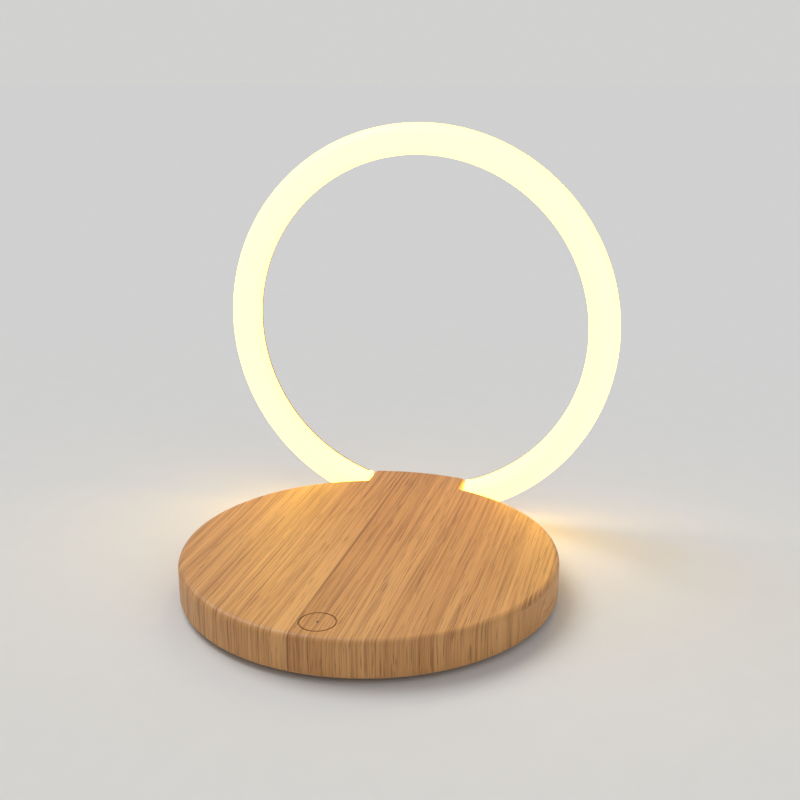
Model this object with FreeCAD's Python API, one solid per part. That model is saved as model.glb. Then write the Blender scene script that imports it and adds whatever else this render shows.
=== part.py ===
import FreeCAD, Part
import math
import os

os.makedirs("parts", exist_ok=True)

# A round wooden wireless charging pad with a ring lamp behind it.  The ring stands on two hinge
# pins in a wooden tab at the back of the disc, and folds forward and down until it lies round it.
# Millimetres.  Z = 0 is the desk, the disc's axis is the Z axis, and the ring stands at +Y.

Vector = FreeCAD.Vector
ALONG_X = Vector(1, 0, 0)
ALONG_Y = Vector(0, 1, 0)
ALONG_Z = Vector(0, 0, 1)

# ---- driving dimensions ----
DISC_R = 62.4
BASE_THICK = 12.0
BASE_BOTTOM = 1.8
RING_INNER_R = 62.9
RING_OUTER_R = 73.9
RING_DEPTH = 8.0
RING_GAP_HALF = 18.8
HINGE_FACE_GAP = 0.4
TAB_INSET = 0.7
PAD_R = 49.0
KEY_Y = -53.0
KEY_R = 5.6
KEY_FOAM_R = 2.4
INDICATOR_R = 0.45
INDICATOR_PIPE_R = 1.1

# ---- places worked out from them ----
BASE_TOP = BASE_BOTTOM + BASE_THICK
RING_MID_R = (RING_INNER_R + RING_OUTER_R) / 2
PIVOT_Y = math.sqrt(RING_MID_R ** 2 - RING_GAP_HALF ** 2)
PIVOT_Z = BASE_BOTTOM + BASE_THICK / 2
RING_Z = PIVOT_Z + PIVOT_Y
TAB_HALF = RING_GAP_HALF - HINGE_FACE_GAP
TAB_R = RING_OUTER_R - TAB_INSET

# ---- base body ----
TOP_ROUND = 2.0
BOTTOM_ROUND = 0.8
TAB_CORNER = 1.6
ROOF = 3.0
TAB_ROOF = 2.0
POCKET_R = 55.5
TAB_POCKET_HALF = 13.6
TAB_POCKET_BACK = 69.8
NECK_FRONT = 50.0
NECK_BACK = 60.0
NECK_CHANNEL_HALF = 7.4
NECK_BOSS_Z = 8.1
POCKET_TOP = BASE_TOP - ROOF
TAB_POCKET_TOP = BASE_TOP - TAB_ROOF
KEY_LINE = 0.35
KEY_DEPTH = 0.3

# ---- bottom cover and its screws ----
COVER_THICK = 1.6
COVER_INSET = 0.2
REBATE_TOP = BASE_BOTTOM + COVER_INSET + COVER_THICK
REBATE_R = 58.6
REBATE_TAB_HALF = 15.4
REBATE_TAB_R = 70.8
COVER_CLEAR = 0.2
SCREW_RING_R = 54.0
SCREW_LOBE_R = 5.0
SCREW_R = 1.3
SCREW_HEAD_R = 2.4
SCREW_HEAD_THICK = 1.1
SCREW_LENGTH = 7.0
SCREW_ANGLES = (45, 135, 225, 315)
COVER_RIM_R = 24.0
COVER_RIM_WALL = 1.6
FOOT_EDGE_ROUND = 0.5
FOOT_GROOVE_INSET = 4.0
FOOT_GROOVE_WIDTH = 1.2
FOOT_GROOVE_DEPTH = 0.5

# ---- charging coil stack ----
TRAY_BOTTOM = 7.0
TRAY_FLOOR = 0.8
TRAY_R = 27.5
TRAY_WALL = 1.5
TRAY_TOP = 10.6
SHIELD_THICK = 0.4
SHIELD_R = 25.6
FERRITE_THICK = 1.0
FERRITE_R = 25.4
COIL_INNER_R = 10.2
COIL_PITCH = 1.2
COIL_TURNS = 10
COIL_THICK = 1.3
LEAD_SLOT_HALF = 1.1
LEAD_SLOT_X = 2.0

# ---- circuit boards ----
BOARD_BOTTOM = 5.0
BOARD_THICK = 1.6
BOARD_TOP = BOARD_BOTTOM + BOARD_THICK
BOARD_HALF = 22.0
BOARD_FRONT = 31.0
BOARD_BACK = 50.4
BOARD_TONGUE_HALF = 6.0
BOARD_TONGUE_BACK = 69.4
BOARD_SCREWS = ((-18.0, 34.5), (18.0, 34.5), (0.0, 53.5))
BOARD_SCREW_R = 1.0
BOARD_SCREW_TIP = 2.7
BOARD_SCREW_HEAD_R = 1.9
BOARD_BOSS_R = 2.6
CROSS_HALF_LENGTH = 1.0
CROSS_HALF_WIDTH = 0.2
LED_CONNECTOR_Y = 46.6
TOUCH_CONNECTOR_Y = 41.0
TOUCH_BOARD_THICK = 1.0
TOUCH_BOSS_R = 1.6
TOUCH_BOSS_X = 5.5
TOUCH_BOSS_Y = -45.8
ELECTRODE_THICK = 0.2
TOUCH_BOARD_TOP = BOARD_BOTTOM + TOUCH_BOARD_THICK

# ---- USB-C inlet ----
PORT_HALF_WIDTH = 4.47
PORT_HALF_HEIGHT = 1.63
PORT_DEPTH = 7.4
PORT_WALL = 0.3
PORT_MOUTH_Y = TAB_R - 0.5
PORT_Z = BOARD_TOP + PORT_HALF_HEIGHT
BEZEL_HALF_WIDTH = 6.6
BEZEL_HALF_HEIGHT = 3.3
BEZEL_THICK = 2.6

# ---- hinge ----
PIN_R = 1.8
PIN_BORE_R = 1.0
PIN_INNER_X = 8.0
PIN_OUTER_X = RING_GAP_HALF + 4.0
PIN_CLEAR = 0.03
EAR_INNER_X = 10.8
EAR_OUTER_X = 13.4
EAR_FRONT = 60.4
EAR_BACK = 69.6
EAR_BOTTOM = 4.0
EAR_TOP = 11.5
FOOT_THICK = 1.2
FOOT_FRONT = 51.0
FOOT_INNER_X = 8.0
NUT_R = 3.0
NUT_THICK = 1.8
SPRING_WASHER_THICK = 0.5
AXIAL_CLEAR = 0.1
WASHER_R = 4.2
WASHER_BORE_CLEAR = 0.3
BRACKET_SCREW_R = 1.1
BRACKET_SCREW_HEAD_R = 2.0
BRACKET_SCREW_DEPTH = 4.4
BRACKET_SCREW_X = 10.4
BRACKET_SCREW_Y = (53.2, 57.8)
SCREW_HEAD_HEIGHT = 1.2
SCREW_HEAD_ROUND = 0.4
HARNESS_R = 0.6
HARNESS_END_X = 16.0
TOUCH_HARNESS_R = 0.7
LEAD_R = 0.5

# ---- ring lamp ----
FRONT_ROUND = 5.3
BACK_ROUND = 0.8
HOOP_THICK = 1.5
DIFFUSER_WALL = 1.4
RIB_THICK = 1.0
RIB_CLEAR = 0.2
LED_BOARD_WIDTH = 6.0
LED_BOARD_THICK = 1.0
LED_COUNT = 60
LED_LENGTH = 3.5
LED_WIDTH = 2.8
LED_HEIGHT = 0.7
FIRST_LED_TURN = 3.2
CAP_THICK = 1.2
SPIGOT_END_X = RING_GAP_HALF + 8.5
LED_BOARD_END_X = RING_GAP_HALF + 10.0

# ---- heights and depths worked out from them ----
SHIELD_Z = TRAY_BOTTOM + TRAY_FLOOR
FERRITE_Z = SHIELD_Z + SHIELD_THICK
COIL_Z = FERRITE_Z + FERRITE_THICK
COIL_OUTER_R = COIL_INNER_R + COIL_PITCH * COIL_TURNS
HOOP_FRONT = RING_DEPTH / 2 - HOOP_THICK
CHANNEL_FRONT = -RING_DEPTH / 2 + DIFFUSER_WALL
CHANNEL_ROUND = FRONT_ROUND - DIFFUSER_WALL
LED_BOARD_BACK = HOOP_FRONT - RIB_THICK
LED_BOARD_FRONT = LED_BOARD_BACK - LED_BOARD_THICK
ARC_END_X = RING_GAP_HALF + CAP_THICK


# ---- small helpers ----
def block(x0, x1, y0, y1, z0, z1):
    return Part.makeBox(x1 - x0, y1 - y0, z1 - z0, Vector(x0, y0, z0))


def rod(radius, x0, x1, y=PIVOT_Y, z=PIVOT_Z):
    return Part.makeCylinder(radius, x1 - x0, Vector(x0, y, z), ALONG_X)


def disc(radius, z0, z1, x=0.0, y=0.0):
    return Part.makeCylinder(radius, z1 - z0, Vector(x, y, z0), ALONG_Z)


def tube(outer, inner, z0, z1, x=0.0, y=0.0):
    return disc(outer, z0, z1, x, y).cut(disc(inner, z0, z1, x, y))


def mirrored(shape):
    return shape.mirror(Vector(0, 0, 0), ALONG_X)


def stadium(half_width, half_height, y0, y1, z):
    """A slot shape with round ends that runs along Y."""
    straight = half_width - half_height
    body = block(-straight, straight, y0, y1, z - half_height, z + half_height)
    for x in (-straight, straight):
        body = body.fuse(Part.makeCylinder(half_height, y1 - y0, Vector(x, y0, z), ALONG_Y))
    return body.removeSplitter()


def fillet_at_height(shape, z, radius):
    """Round every edge that lies in the plane at height z."""
    edges = []
    for edge in shape.Edges:
        box = edge.BoundBox
        if abs(box.ZMin - z) < 1e-6 and abs(box.ZMax - z) < 1e-6:
            edges.append(edge)
    return shape.makeFillet(radius, edges)


def routed_wire(points, radius, longest_setback=math.inf):
    """A round wire along straight runs joined by tangent arcs."""
    corners = [Vector(*point) for point in points]
    edges = []
    start = corners[0]
    for before, corner, after in zip(corners, corners[1:], corners[2:]):
        back = (before - corner).normalize()
        ahead = (after - corner).normalize()
        shorter = min((before - corner).Length, (after - corner).Length)
        setback = min(0.45 * shorter, longest_setback)
        bisector = (back + ahead).normalize()
        half_turn = (math.pi - back.getAngle(ahead)) / 2
        bend = setback / math.tan(half_turn)
        centre = corner + bisector * (bend / math.cos(half_turn))
        arc_start = corner + back * setback
        arc_end = corner + ahead * setback
        arc_middle = centre - bisector * bend
        edges.append(Part.LineSegment(start, arc_start).toShape())
        edges.append(Part.Arc(arc_start, arc_middle, arc_end).toShape())
        start = arc_end
    edges.append(Part.LineSegment(start, corners[-1]).toShape())
    path = Part.Wire(edges)
    heading = (corners[1] - corners[0]).normalize()
    profile = Part.Wire([Part.makeCircle(radius, corners[0], heading)])
    wire = path.makePipeShell([profile], True, False)
    expected = math.pi * radius ** 2 * path.Length
    print("wire length %.1f, volume over expected %.3f" % (path.Length, wire.Volume / expected))
    return wire


# ---- wooden base ----
def base_outline(disc_r, tab_half, tab_r, z0, z1, corner=0.0):
    """The disc with its rear tab, as one solid between two heights."""
    tab = disc(tab_r, z0, z1).common(block(-tab_half, tab_half, 0, tab_r, z0, z1))
    if corner:
        upright = []
        for edge in tab.Edges:
            box = edge.BoundBox
            if box.ZLength > (z1 - z0) * 0.9 and box.YMin > disc_r:
                upright.append(edge)
        tab = tab.makeFillet(corner, upright)
    return disc(disc_r, z0, z1).fuse(tab).removeSplitter()


def base_pocket():
    pocket = disc(POCKET_R, BASE_BOTTOM, POCKET_TOP)
    for angle in SCREW_ANGLES:
        x, y = screw_place(angle)
        pocket = pocket.cut(disc(SCREW_LOBE_R, BASE_BOTTOM, POCKET_TOP, x, y))
    tab_pocket = block(-TAB_POCKET_HALF, TAB_POCKET_HALF, NECK_FRONT, TAB_POCKET_BACK,
                       BASE_BOTTOM, TAB_POCKET_TOP)
    pocket = pocket.fuse(tab_pocket)
    for inner_x, outer_x in ((-TAB_POCKET_HALF, -NECK_CHANNEL_HALF),
                             (NECK_CHANNEL_HALF, TAB_POCKET_HALF)):
        boss = block(inner_x, outer_x, NECK_FRONT, NECK_BACK, NECK_BOSS_Z, BASE_TOP)
        pocket = pocket.cut(boss)
    rebate = base_outline(REBATE_R, REBATE_TAB_HALF, REBATE_TAB_R, BASE_BOTTOM, REBATE_TOP,
                          TAB_CORNER)
    return pocket.fuse(rebate)


def screw_place(angle):
    turn = math.radians(angle)
    return SCREW_RING_R * math.cos(turn), SCREW_RING_R * math.sin(turn)


def base_body():
    body = base_outline(DISC_R, TAB_HALF, TAB_R, BASE_BOTTOM, BASE_TOP, TAB_CORNER)
    body = fillet_at_height(body, BASE_TOP, TOP_ROUND)
    body = fillet_at_height(body, BASE_BOTTOM, BOTTOM_ROUND)
    body = body.cut(base_pocket())
    key_line = tube(KEY_R, KEY_R - KEY_LINE, BASE_TOP - KEY_DEPTH, BASE_TOP + 1, 0, KEY_Y)
    body = body.cut(key_line)
    body = body.cut(disc(INDICATOR_R, POCKET_TOP, BASE_TOP + 1, 0, KEY_Y))
    port_hole = stadium(BEZEL_HALF_WIDTH, BEZEL_HALF_HEIGHT, TAB_POCKET_BACK - 1, TAB_R + 1,
                        PORT_Z)
    body = body.cut(port_hole)
    body = body.cut(rod(PIN_R + 0.5, -TAB_HALF - 1, TAB_HALF + 1))
    for angle in SCREW_ANGLES:
        x, y = screw_place(angle)
        body = body.cut(disc(SCREW_R, REBATE_TOP, screw_tip_z(), x, y))
    for x, y in bracket_screw_places():
        body = body.cut(disc(BRACKET_SCREW_R, NECK_BOSS_Z, bracket_screw_tip_z(), x, y))
    return body


# ---- bottom cover, foot pad and screws ----
def screw_tip_z():
    return BASE_BOTTOM + COVER_INSET + SCREW_LENGTH


def cover_screw(x, y):
    bottom = BASE_BOTTOM + COVER_INSET
    head = Part.makeCone(SCREW_HEAD_R, SCREW_R, SCREW_HEAD_THICK, Vector(x, y, bottom))
    shank = disc(SCREW_R, bottom, screw_tip_z(), x, y)
    screw = head.fuse(shank).removeSplitter()
    slot_depth = SCREW_HEAD_THICK * 0.6
    for turn in (0, 90):
        slot = block(-1.3, 1.3, -0.3, 0.3, bottom - 1, bottom + slot_depth)
        slot.rotate(Vector(0, 0, 0), ALONG_Z, turn)
        slot.translate(Vector(x, y, 0))
        screw = screw.cut(slot)
    return screw


def bottom_cover():
    bottom = BASE_BOTTOM + COVER_INSET
    cover = base_outline(REBATE_R - COVER_CLEAR, REBATE_TAB_HALF - COVER_CLEAR,
                         REBATE_TAB_R - COVER_CLEAR, bottom, REBATE_TOP, TAB_CORNER)
    cover = cover.fuse(tube(COVER_RIM_R, COVER_RIM_R - COVER_RIM_WALL, REBATE_TOP, TRAY_BOTTOM))
    for x, y in BOARD_SCREWS:
        cover = cover.fuse(disc(BOARD_BOSS_R, REBATE_TOP, BOARD_BOTTOM, x, y))
    for x in (-TOUCH_BOSS_X, TOUCH_BOSS_X):
        cover = cover.fuse(disc(TOUCH_BOSS_R, REBATE_TOP, BOARD_BOTTOM, x, TOUCH_BOSS_Y))
    for x, y in BOARD_SCREWS:
        cover = cover.cut(disc(BOARD_SCREW_R, BOARD_SCREW_TIP, BOARD_BOTTOM, x, y))
    for angle in SCREW_ANGLES:
        x, y = screw_place(angle)
        seat = Part.makeCone(SCREW_HEAD_R, SCREW_R, SCREW_HEAD_THICK, Vector(x, y, bottom))
        cover = cover.cut(seat)
        cover = cover.cut(disc(SCREW_R, bottom, REBATE_TOP, x, y))
    return cover.removeSplitter()


def anti_slip_pad():
    pad = disc(PAD_R, 0, BASE_BOTTOM + COVER_INSET)
    pad = fillet_at_height(pad, 0, FOOT_EDGE_ROUND)
    groove_r = PAD_R - FOOT_GROOVE_INSET
    groove = tube(groove_r, groove_r - FOOT_GROOVE_WIDTH, -1, FOOT_GROOVE_DEPTH)
    return pad.cut(groove)


# ---- charging coil stack ----
def coil_tray():
    tray = disc(TRAY_R, TRAY_BOTTOM, TRAY_TOP)
    tray = tray.cut(disc(TRAY_R - TRAY_WALL, TRAY_BOTTOM + TRAY_FLOOR, TRAY_TOP))
    tray = tray.cut(disc(3.0, TRAY_BOTTOM, TRAY_TOP))
    notch = block(-4.0, 4.0, TRAY_R - 4, TRAY_R + 1, TRAY_BOTTOM + TRAY_FLOOR, TRAY_TOP)
    return tray.cut(notch)


def slotted_disc(radius, z0, z1):
    """A disc with a slot for the lead from the coil's inner turn."""
    slot = block(LEAD_SLOT_X - LEAD_SLOT_HALF, LEAD_SLOT_X + LEAD_SLOT_HALF,
                 COIL_INNER_R - 1.5, radius + 1, z0, z1)
    return disc(radius, z0, z1).cut(disc(2.0, z0, z1)).cut(slot)


def charging_coil():
    """A flat winding: one ring of scalloped section, with a bulge for each turn."""
    middle = COIL_Z + COIL_THICK / 2
    half = COIL_THICK / 2
    valley = half * 0.72
    bottom_edges = []
    top_edges = []
    for turn in range(COIL_TURNS):
        inner = COIL_INNER_R + turn * COIL_PITCH
        crest = inner + COIL_PITCH / 2
        outer = inner + COIL_PITCH
        top_edges.append(Part.Arc(Vector(inner, 0, middle + valley), Vector(crest, 0, middle + half),
                                  Vector(outer, 0, middle + valley)).toShape())
        bottom_edges.append(Part.Arc(Vector(inner, 0, middle - valley),
                                     Vector(crest, 0, middle - half),
                                     Vector(outer, 0, middle - valley)).toShape())
    sides = []
    for radius in (COIL_INNER_R, COIL_OUTER_R):
        sides.append(Part.makeLine(Vector(radius, 0, middle - valley),
                                   Vector(radius, 0, middle + valley)))
    outline = Part.Wire(Part.__sortEdges__(top_edges + bottom_edges + sides))
    return Part.Face(outline).revolve(Vector(0, 0, 0), ALONG_Z, 360)


def coil_thermistor():
    bead = Part.makeSphere(1.2, Vector(0, 0, COIL_Z + 0.2))
    legs = []
    for x in (-0.5, 0.5):
        legs.append(disc(0.2, TRAY_BOTTOM + 0.4, COIL_Z, x, 0))
    return bead.fuse(legs).removeSplitter()


def coil_leads():
    outer_lead = routed_wire([(-2.0, COIL_OUTER_R, COIL_Z + 0.6), (-2.0, 29.0, COIL_Z + 0.4),
                              (-4.0, 32.5, BOARD_TOP + 1.2), (-5.0, 35.0, BOARD_TOP + 0.55)],
                             LEAD_R)
    lead_z = SHIELD_Z + 0.7
    inner_lead = routed_wire([(LEAD_SLOT_X, COIL_INNER_R + 0.6, lead_z),
                              (LEAD_SLOT_X, 28.0, lead_z),
                              (3.4, 32.5, BOARD_TOP + 1.2), (4.6, 35.0, BOARD_TOP + 0.55)], LEAD_R)
    return Part.Compound([outer_lead, inner_lead])


# ---- main board and what is on it ----
def main_board():
    board = block(-BOARD_HALF, BOARD_HALF, BOARD_FRONT, BOARD_BACK, BOARD_BOTTOM, BOARD_TOP)
    tongue = block(-BOARD_TONGUE_HALF, BOARD_TONGUE_HALF, BOARD_BACK, BOARD_TONGUE_BACK,
                   BOARD_BOTTOM, BOARD_TOP)
    board = board.fuse(tongue).removeSplitter()
    for x, y in BOARD_SCREWS:
        board = board.cut(disc(BOARD_SCREW_R + 0.1, BOARD_BOTTOM, BOARD_TOP, x, y))
    return board


def pan_screw(x, y, seat_z, crown_z, tip_z, head_r, shank_r):
    """A pan-head screw: its head lies between the seat and the crown, its shank ends at the tip."""
    head = disc(head_r, min(seat_z, crown_z), max(seat_z, crown_z), x, y)
    head = fillet_at_height(head, crown_z, SCREW_HEAD_ROUND)
    shank = disc(shank_r, min(seat_z, tip_z), max(seat_z, tip_z), x, y)
    slot_floor = (seat_z + crown_z) / 2
    beyond = 2 * crown_z - slot_floor
    screw = head.fuse(shank)
    for half_x, half_y in ((CROSS_HALF_LENGTH, CROSS_HALF_WIDTH),
                           (CROSS_HALF_WIDTH, CROSS_HALF_LENGTH)):
        screw = screw.cut(block(x - half_x, x + half_x, y - half_y, y + half_y,
                                min(slot_floor, beyond), max(slot_floor, beyond)))
    return screw.removeSplitter()


def board_screws():
    screws = []
    for x, y in BOARD_SCREWS:
        screws.append(pan_screw(x, y, BOARD_TOP, BOARD_TOP + SCREW_HEAD_HEIGHT, BOARD_SCREW_TIP,
                                BOARD_SCREW_HEAD_R, BOARD_SCREW_R))
    return Part.Compound(screws)


def chip(x, y, width, length, height, z=BOARD_TOP):
    return block(x - width / 2, x + width / 2, y - length / 2, y + length / 2, z, z + height)


def chips(places, width, length, height):
    return Part.Compound([chip(x, y, width, length, height) for x, y in places])


def charge_controller():
    package = chip(-9.0, 40.5, 7.0, 7.0, 0.9)
    dimple = disc(0.4, BOARD_TOP + 0.8, BOARD_TOP + 1, -11.5, 43.0)
    return package.cut(dimple)


def power_inductor():
    core = chip(5.0, 41.5, 6.6, 6.6, 3.0)
    upright = [edge for edge in core.Edges if edge.BoundBox.ZLength > 2.9]
    return core.makeFillet(1.0, upright)


def bulk_capacitors():
    cans = []
    for y in (42.0, 47.0):
        can = disc(2.0, BOARD_TOP + 0.6, BOARD_TOP + 3.8, -18.0, y)
        foot = chip(-18.0, y, 4.2, 4.2, 0.6)
        cans.append(can.fuse(foot).removeSplitter())
    return Part.Compound(cans)


def led_connector():
    housing = chip(12.0, LED_CONNECTOR_Y, 4.2, 5.0, 3.0)
    mouth = block(9, 11.4, LED_CONNECTOR_Y - 1.7, LED_CONNECTOR_Y + 1.7, BOARD_TOP + 0.5,
                  BOARD_TOP + 2.4)
    return housing.cut(mouth)


def touch_connector():
    housing = chip(19.4, TOUCH_CONNECTOR_Y, 4.2, 5.0, 3.0)
    mouth = block(20.0, 22, TOUCH_CONNECTOR_Y - 1.7, TOUCH_CONNECTOR_Y + 1.7, BOARD_TOP + 0.7,
                  BOARD_TOP + 2.4)
    return housing.cut(mouth)


# ---- USB-C inlet ----
def usb_c_shell():
    shell = stadium(PORT_HALF_WIDTH, PORT_HALF_HEIGHT, PORT_MOUTH_Y - PORT_DEPTH, PORT_MOUTH_Y,
                    PORT_Z)
    inside = stadium(PORT_HALF_WIDTH - PORT_WALL, PORT_HALF_HEIGHT - PORT_WALL,
                     PORT_MOUTH_Y - PORT_DEPTH + PORT_WALL, PORT_MOUTH_Y + 1, PORT_Z)
    return shell.cut(inside)


def usb_c_tongue():
    back = PORT_MOUTH_Y - PORT_DEPTH + PORT_WALL
    plug = stadium(PORT_HALF_WIDTH - PORT_WALL, PORT_HALF_HEIGHT - PORT_WALL, back, back + 1.4,
                   PORT_Z)
    blade = block(-3.3, 3.3, back, PORT_MOUTH_Y - 0.8, PORT_Z - 0.35, PORT_Z + 0.35)
    return plug.fuse(blade).removeSplitter()


def port_bezel():
    back = TAB_R - 0.4 - BEZEL_THICK
    bezel = stadium(BEZEL_HALF_WIDTH, BEZEL_HALF_HEIGHT, back, TAB_R - 0.4, PORT_Z)
    opening = stadium(PORT_HALF_WIDTH + 0.15, PORT_HALF_HEIGHT + 0.15, back - 1, TAB_R, PORT_Z)
    return bezel.cut(opening)


# ---- touch key ----
def touch_board():
    return block(-7.0, 7.0, -54.8, -44.0, BOARD_BOTTOM, TOUCH_BOARD_TOP)


def touch_electrode():
    return tube(KEY_FOAM_R, INDICATOR_PIPE_R + 0.1, POCKET_TOP - ELECTRODE_THICK, POCKET_TOP, 0, KEY_Y)


def touch_foam():
    return tube(KEY_FOAM_R, INDICATOR_PIPE_R + 0.3, TOUCH_BOARD_TOP, POCKET_TOP - ELECTRODE_THICK,
                0, KEY_Y)


def touch_controller():
    return chip(-4.6, -46.4, 3.0, 3.0, 0.9, TOUCH_BOARD_TOP)


def touch_header():
    return chip(4.6, -46.2, 4.0, 3.0, 2.4, TOUCH_BOARD_TOP)


def indicator_led():
    return chip(0, KEY_Y, 1.6, 0.8, 0.7, TOUCH_BOARD_TOP)


def indicator_light_pipe():
    stem = disc(INDICATOR_R, POCKET_TOP, BASE_TOP - 0.1, 0, KEY_Y)
    foot = disc(INDICATOR_PIPE_R, TOUCH_BOARD_TOP + 0.9, POCKET_TOP, 0, KEY_Y)
    return stem.fuse(foot).removeSplitter()


def touch_harness():
    return routed_wire([(21.6, TOUCH_CONNECTOR_Y, 8.0), (30.0, 38.0, 7.4), (40.0, 22.0, 5.6),
                        (44.0, 0.0, 5.4), (38.0, -22.0, 5.4), (26.0, -38.0, 6.0),
                        (14.0, -45.0, 7.2), (6.7, -46.2, 7.2)], TOUCH_HARNESS_R)


# ---- hinge in the tab ----
def bracket_screw_places():
    places = []
    for x in (-BRACKET_SCREW_X, BRACKET_SCREW_X):
        for y in BRACKET_SCREW_Y:
            places.append((x, y))
    return places


def bracket_screw_tip_z():
    return NECK_BOSS_Z + BRACKET_SCREW_DEPTH


def hinge_bracket():
    """The right bracket: an ear that carries the pin and a foot that is screwed up into the wood."""
    ear = block(EAR_INNER_X, EAR_OUTER_X, EAR_FRONT, EAR_BACK, EAR_BOTTOM, EAR_TOP)
    foot = block(FOOT_INNER_X, EAR_OUTER_X, FOOT_FRONT, EAR_FRONT, NECK_BOSS_Z - FOOT_THICK,
                 NECK_BOSS_Z)
    bracket = ear.fuse(foot)
    bracket = bracket.cut(rod(PIN_R + PIN_CLEAR, EAR_INNER_X - 1, EAR_OUTER_X + 1))
    for y in BRACKET_SCREW_Y:
        bracket = bracket.cut(disc(BRACKET_SCREW_R, 0, BASE_TOP, BRACKET_SCREW_X, y))
    return bracket.removeSplitter()


def bracket_screws():
    screws = []
    head_top = NECK_BOSS_Z - FOOT_THICK
    for x, y in bracket_screw_places():
        screws.append(pan_screw(x, y, head_top, head_top - SCREW_HEAD_HEIGHT,
                                bracket_screw_tip_z(), BRACKET_SCREW_HEAD_R, BRACKET_SCREW_R))
    return Part.Compound(screws)


def thrust_washer():
    thick = HINGE_FACE_GAP - AXIAL_CLEAR
    bore = rod(PIN_R + WASHER_BORE_CLEAR, TAB_HALF, TAB_HALF + thick)
    return rod(WASHER_R, TAB_HALF, TAB_HALF + thick).cut(bore)


def hinge_pin():
    return rod(PIN_R, PIN_INNER_X, PIN_OUTER_X).cut(rod(PIN_BORE_R, PIN_INNER_X, PIN_OUTER_X))


def spring_washer():
    outer_x = EAR_INNER_X - AXIAL_CLEAR
    inner_x = outer_x - SPRING_WASHER_THICK
    return rod(NUT_R, inner_x, outer_x).cut(rod(PIN_R, inner_x, outer_x))


def hinge_nut():
    outer_x = EAR_INNER_X - AXIAL_CLEAR - SPRING_WASHER_THICK
    inner_x = outer_x - NUT_THICK
    nut = rod(NUT_R, inner_x, outer_x).cut(rod(PIN_R, inner_x, outer_x))
    for turn in (0, 90):
        notch = block(inner_x - 1, inner_x + 0.7, -NUT_R - 1, NUT_R + 1, -0.4, 0.4)
        notch.rotate(Vector(0, 0, 0), ALONG_X, turn)
        notch.translate(Vector(0, PIVOT_Y, PIVOT_Z))
        nut = nut.cut(notch.cut(rod(PIN_R, inner_x - 1, outer_x)))
    return nut


def led_harness():
    return routed_wire([(HARNESS_END_X, PIVOT_Y, PIVOT_Z), (6.3, PIVOT_Y, PIVOT_Z),
                        (6.3, LED_CONNECTOR_Y, PIVOT_Z), (9.4, LED_CONNECTOR_Y, PIVOT_Z)],
                       HARNESS_R, longest_setback=1.4)


# ---- ring lamp ----
def rounded_section(radius0, radius1, depth0, depth1, front_round, back_round):
    """A rounded rectangle in the XY plane at the ring's centre height.

    X is the distance from the ring's axis, Y runs from the front to the back of the ring.
    """
    y0 = PIVOT_Y + depth0
    y1 = PIVOT_Y + depth1
    z = RING_Z
    front = front_round
    back = back_round
    slant = 1 - math.sqrt(0.5)
    corners = (
        (Vector(radius0 + front, y0, z), Vector(radius1 - front, y0, z),
         Vector(radius1 - front * slant, y0 + front * slant, z), Vector(radius1, y0 + front, z)),
        (Vector(radius1, y0 + front, z), Vector(radius1, y1 - back, z),
         Vector(radius1 - back * slant, y1 - back * slant, z), Vector(radius1 - back, y1, z)),
        (Vector(radius1 - back, y1, z), Vector(radius0 + back, y1, z),
         Vector(radius0 + back * slant, y1 - back * slant, z), Vector(radius0, y1 - back, z)),
        (Vector(radius0, y1 - back, z), Vector(radius0, y0 + front, z),
         Vector(radius0 + front * slant, y0 + front * slant, z),
         Vector(radius0 + front, y0, z)),
    )
    edges = []
    for line_start, line_end, middle, arc_end in corners:
        edges.append(Part.makeLine(line_start, line_end))
        if (line_end - arc_end).Length > 1e-6:
            edges.append(Part.Arc(line_end, middle, arc_end).toShape())
    return Part.Face(Part.Wire(edges))


def ring_solid(radius0, radius1, depth0, depth1, front_round=0.0, back_round=0.0):
    section = rounded_section(radius0, radius1, depth0, depth1, front_round, back_round)
    return section.revolve(Vector(0, 0, RING_Z), ALONG_Y, 360)


def slab(x0, x1):
    """The part of the space between two X planes, below the ring's centre."""
    return block(x0, x1, PIVOT_Y - RING_DEPTH, PIVOT_Y + RING_DEPTH, -RING_DEPTH, RING_Z)


def ring_envelope():
    return ring_solid(RING_INNER_R, RING_OUTER_R, -RING_DEPTH / 2, RING_DEPTH / 2,
                      FRONT_ROUND, BACK_ROUND)


def ring_diffuser():
    front_part = ring_solid(RING_INNER_R - 1, RING_OUTER_R + 1, -RING_DEPTH, HOOP_FRONT)
    channel = ring_solid(RING_INNER_R + DIFFUSER_WALL, RING_OUTER_R - DIFFUSER_WALL, CHANNEL_FRONT,
                         RING_DEPTH, CHANNEL_ROUND)
    shell = ring_envelope().common(front_part).cut(channel)
    return shell.cut(slab(-ARC_END_X, ARC_END_X))


def ring_hoop():
    back_part = ring_solid(RING_INNER_R - 1, RING_OUTER_R + 1, HOOP_FRONT, RING_DEPTH)
    plate = ring_envelope().common(back_part).cut(slab(-ARC_END_X, ARC_END_X))
    rib = ring_solid(RING_INNER_R + DIFFUSER_WALL + RIB_CLEAR,
                     RING_OUTER_R - DIFFUSER_WALL - RIB_CLEAR, LED_BOARD_BACK, HOOP_FRONT)
    rib = rib.cut(slab(-LED_BOARD_END_X, LED_BOARD_END_X))
    return plate.fuse(rib)


def led_board():
    half = LED_BOARD_WIDTH / 2
    strip = ring_solid(RING_MID_R - half, RING_MID_R + half, LED_BOARD_FRONT, LED_BOARD_BACK)
    return strip.cut(slab(-LED_BOARD_END_X, LED_BOARD_END_X))


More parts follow.
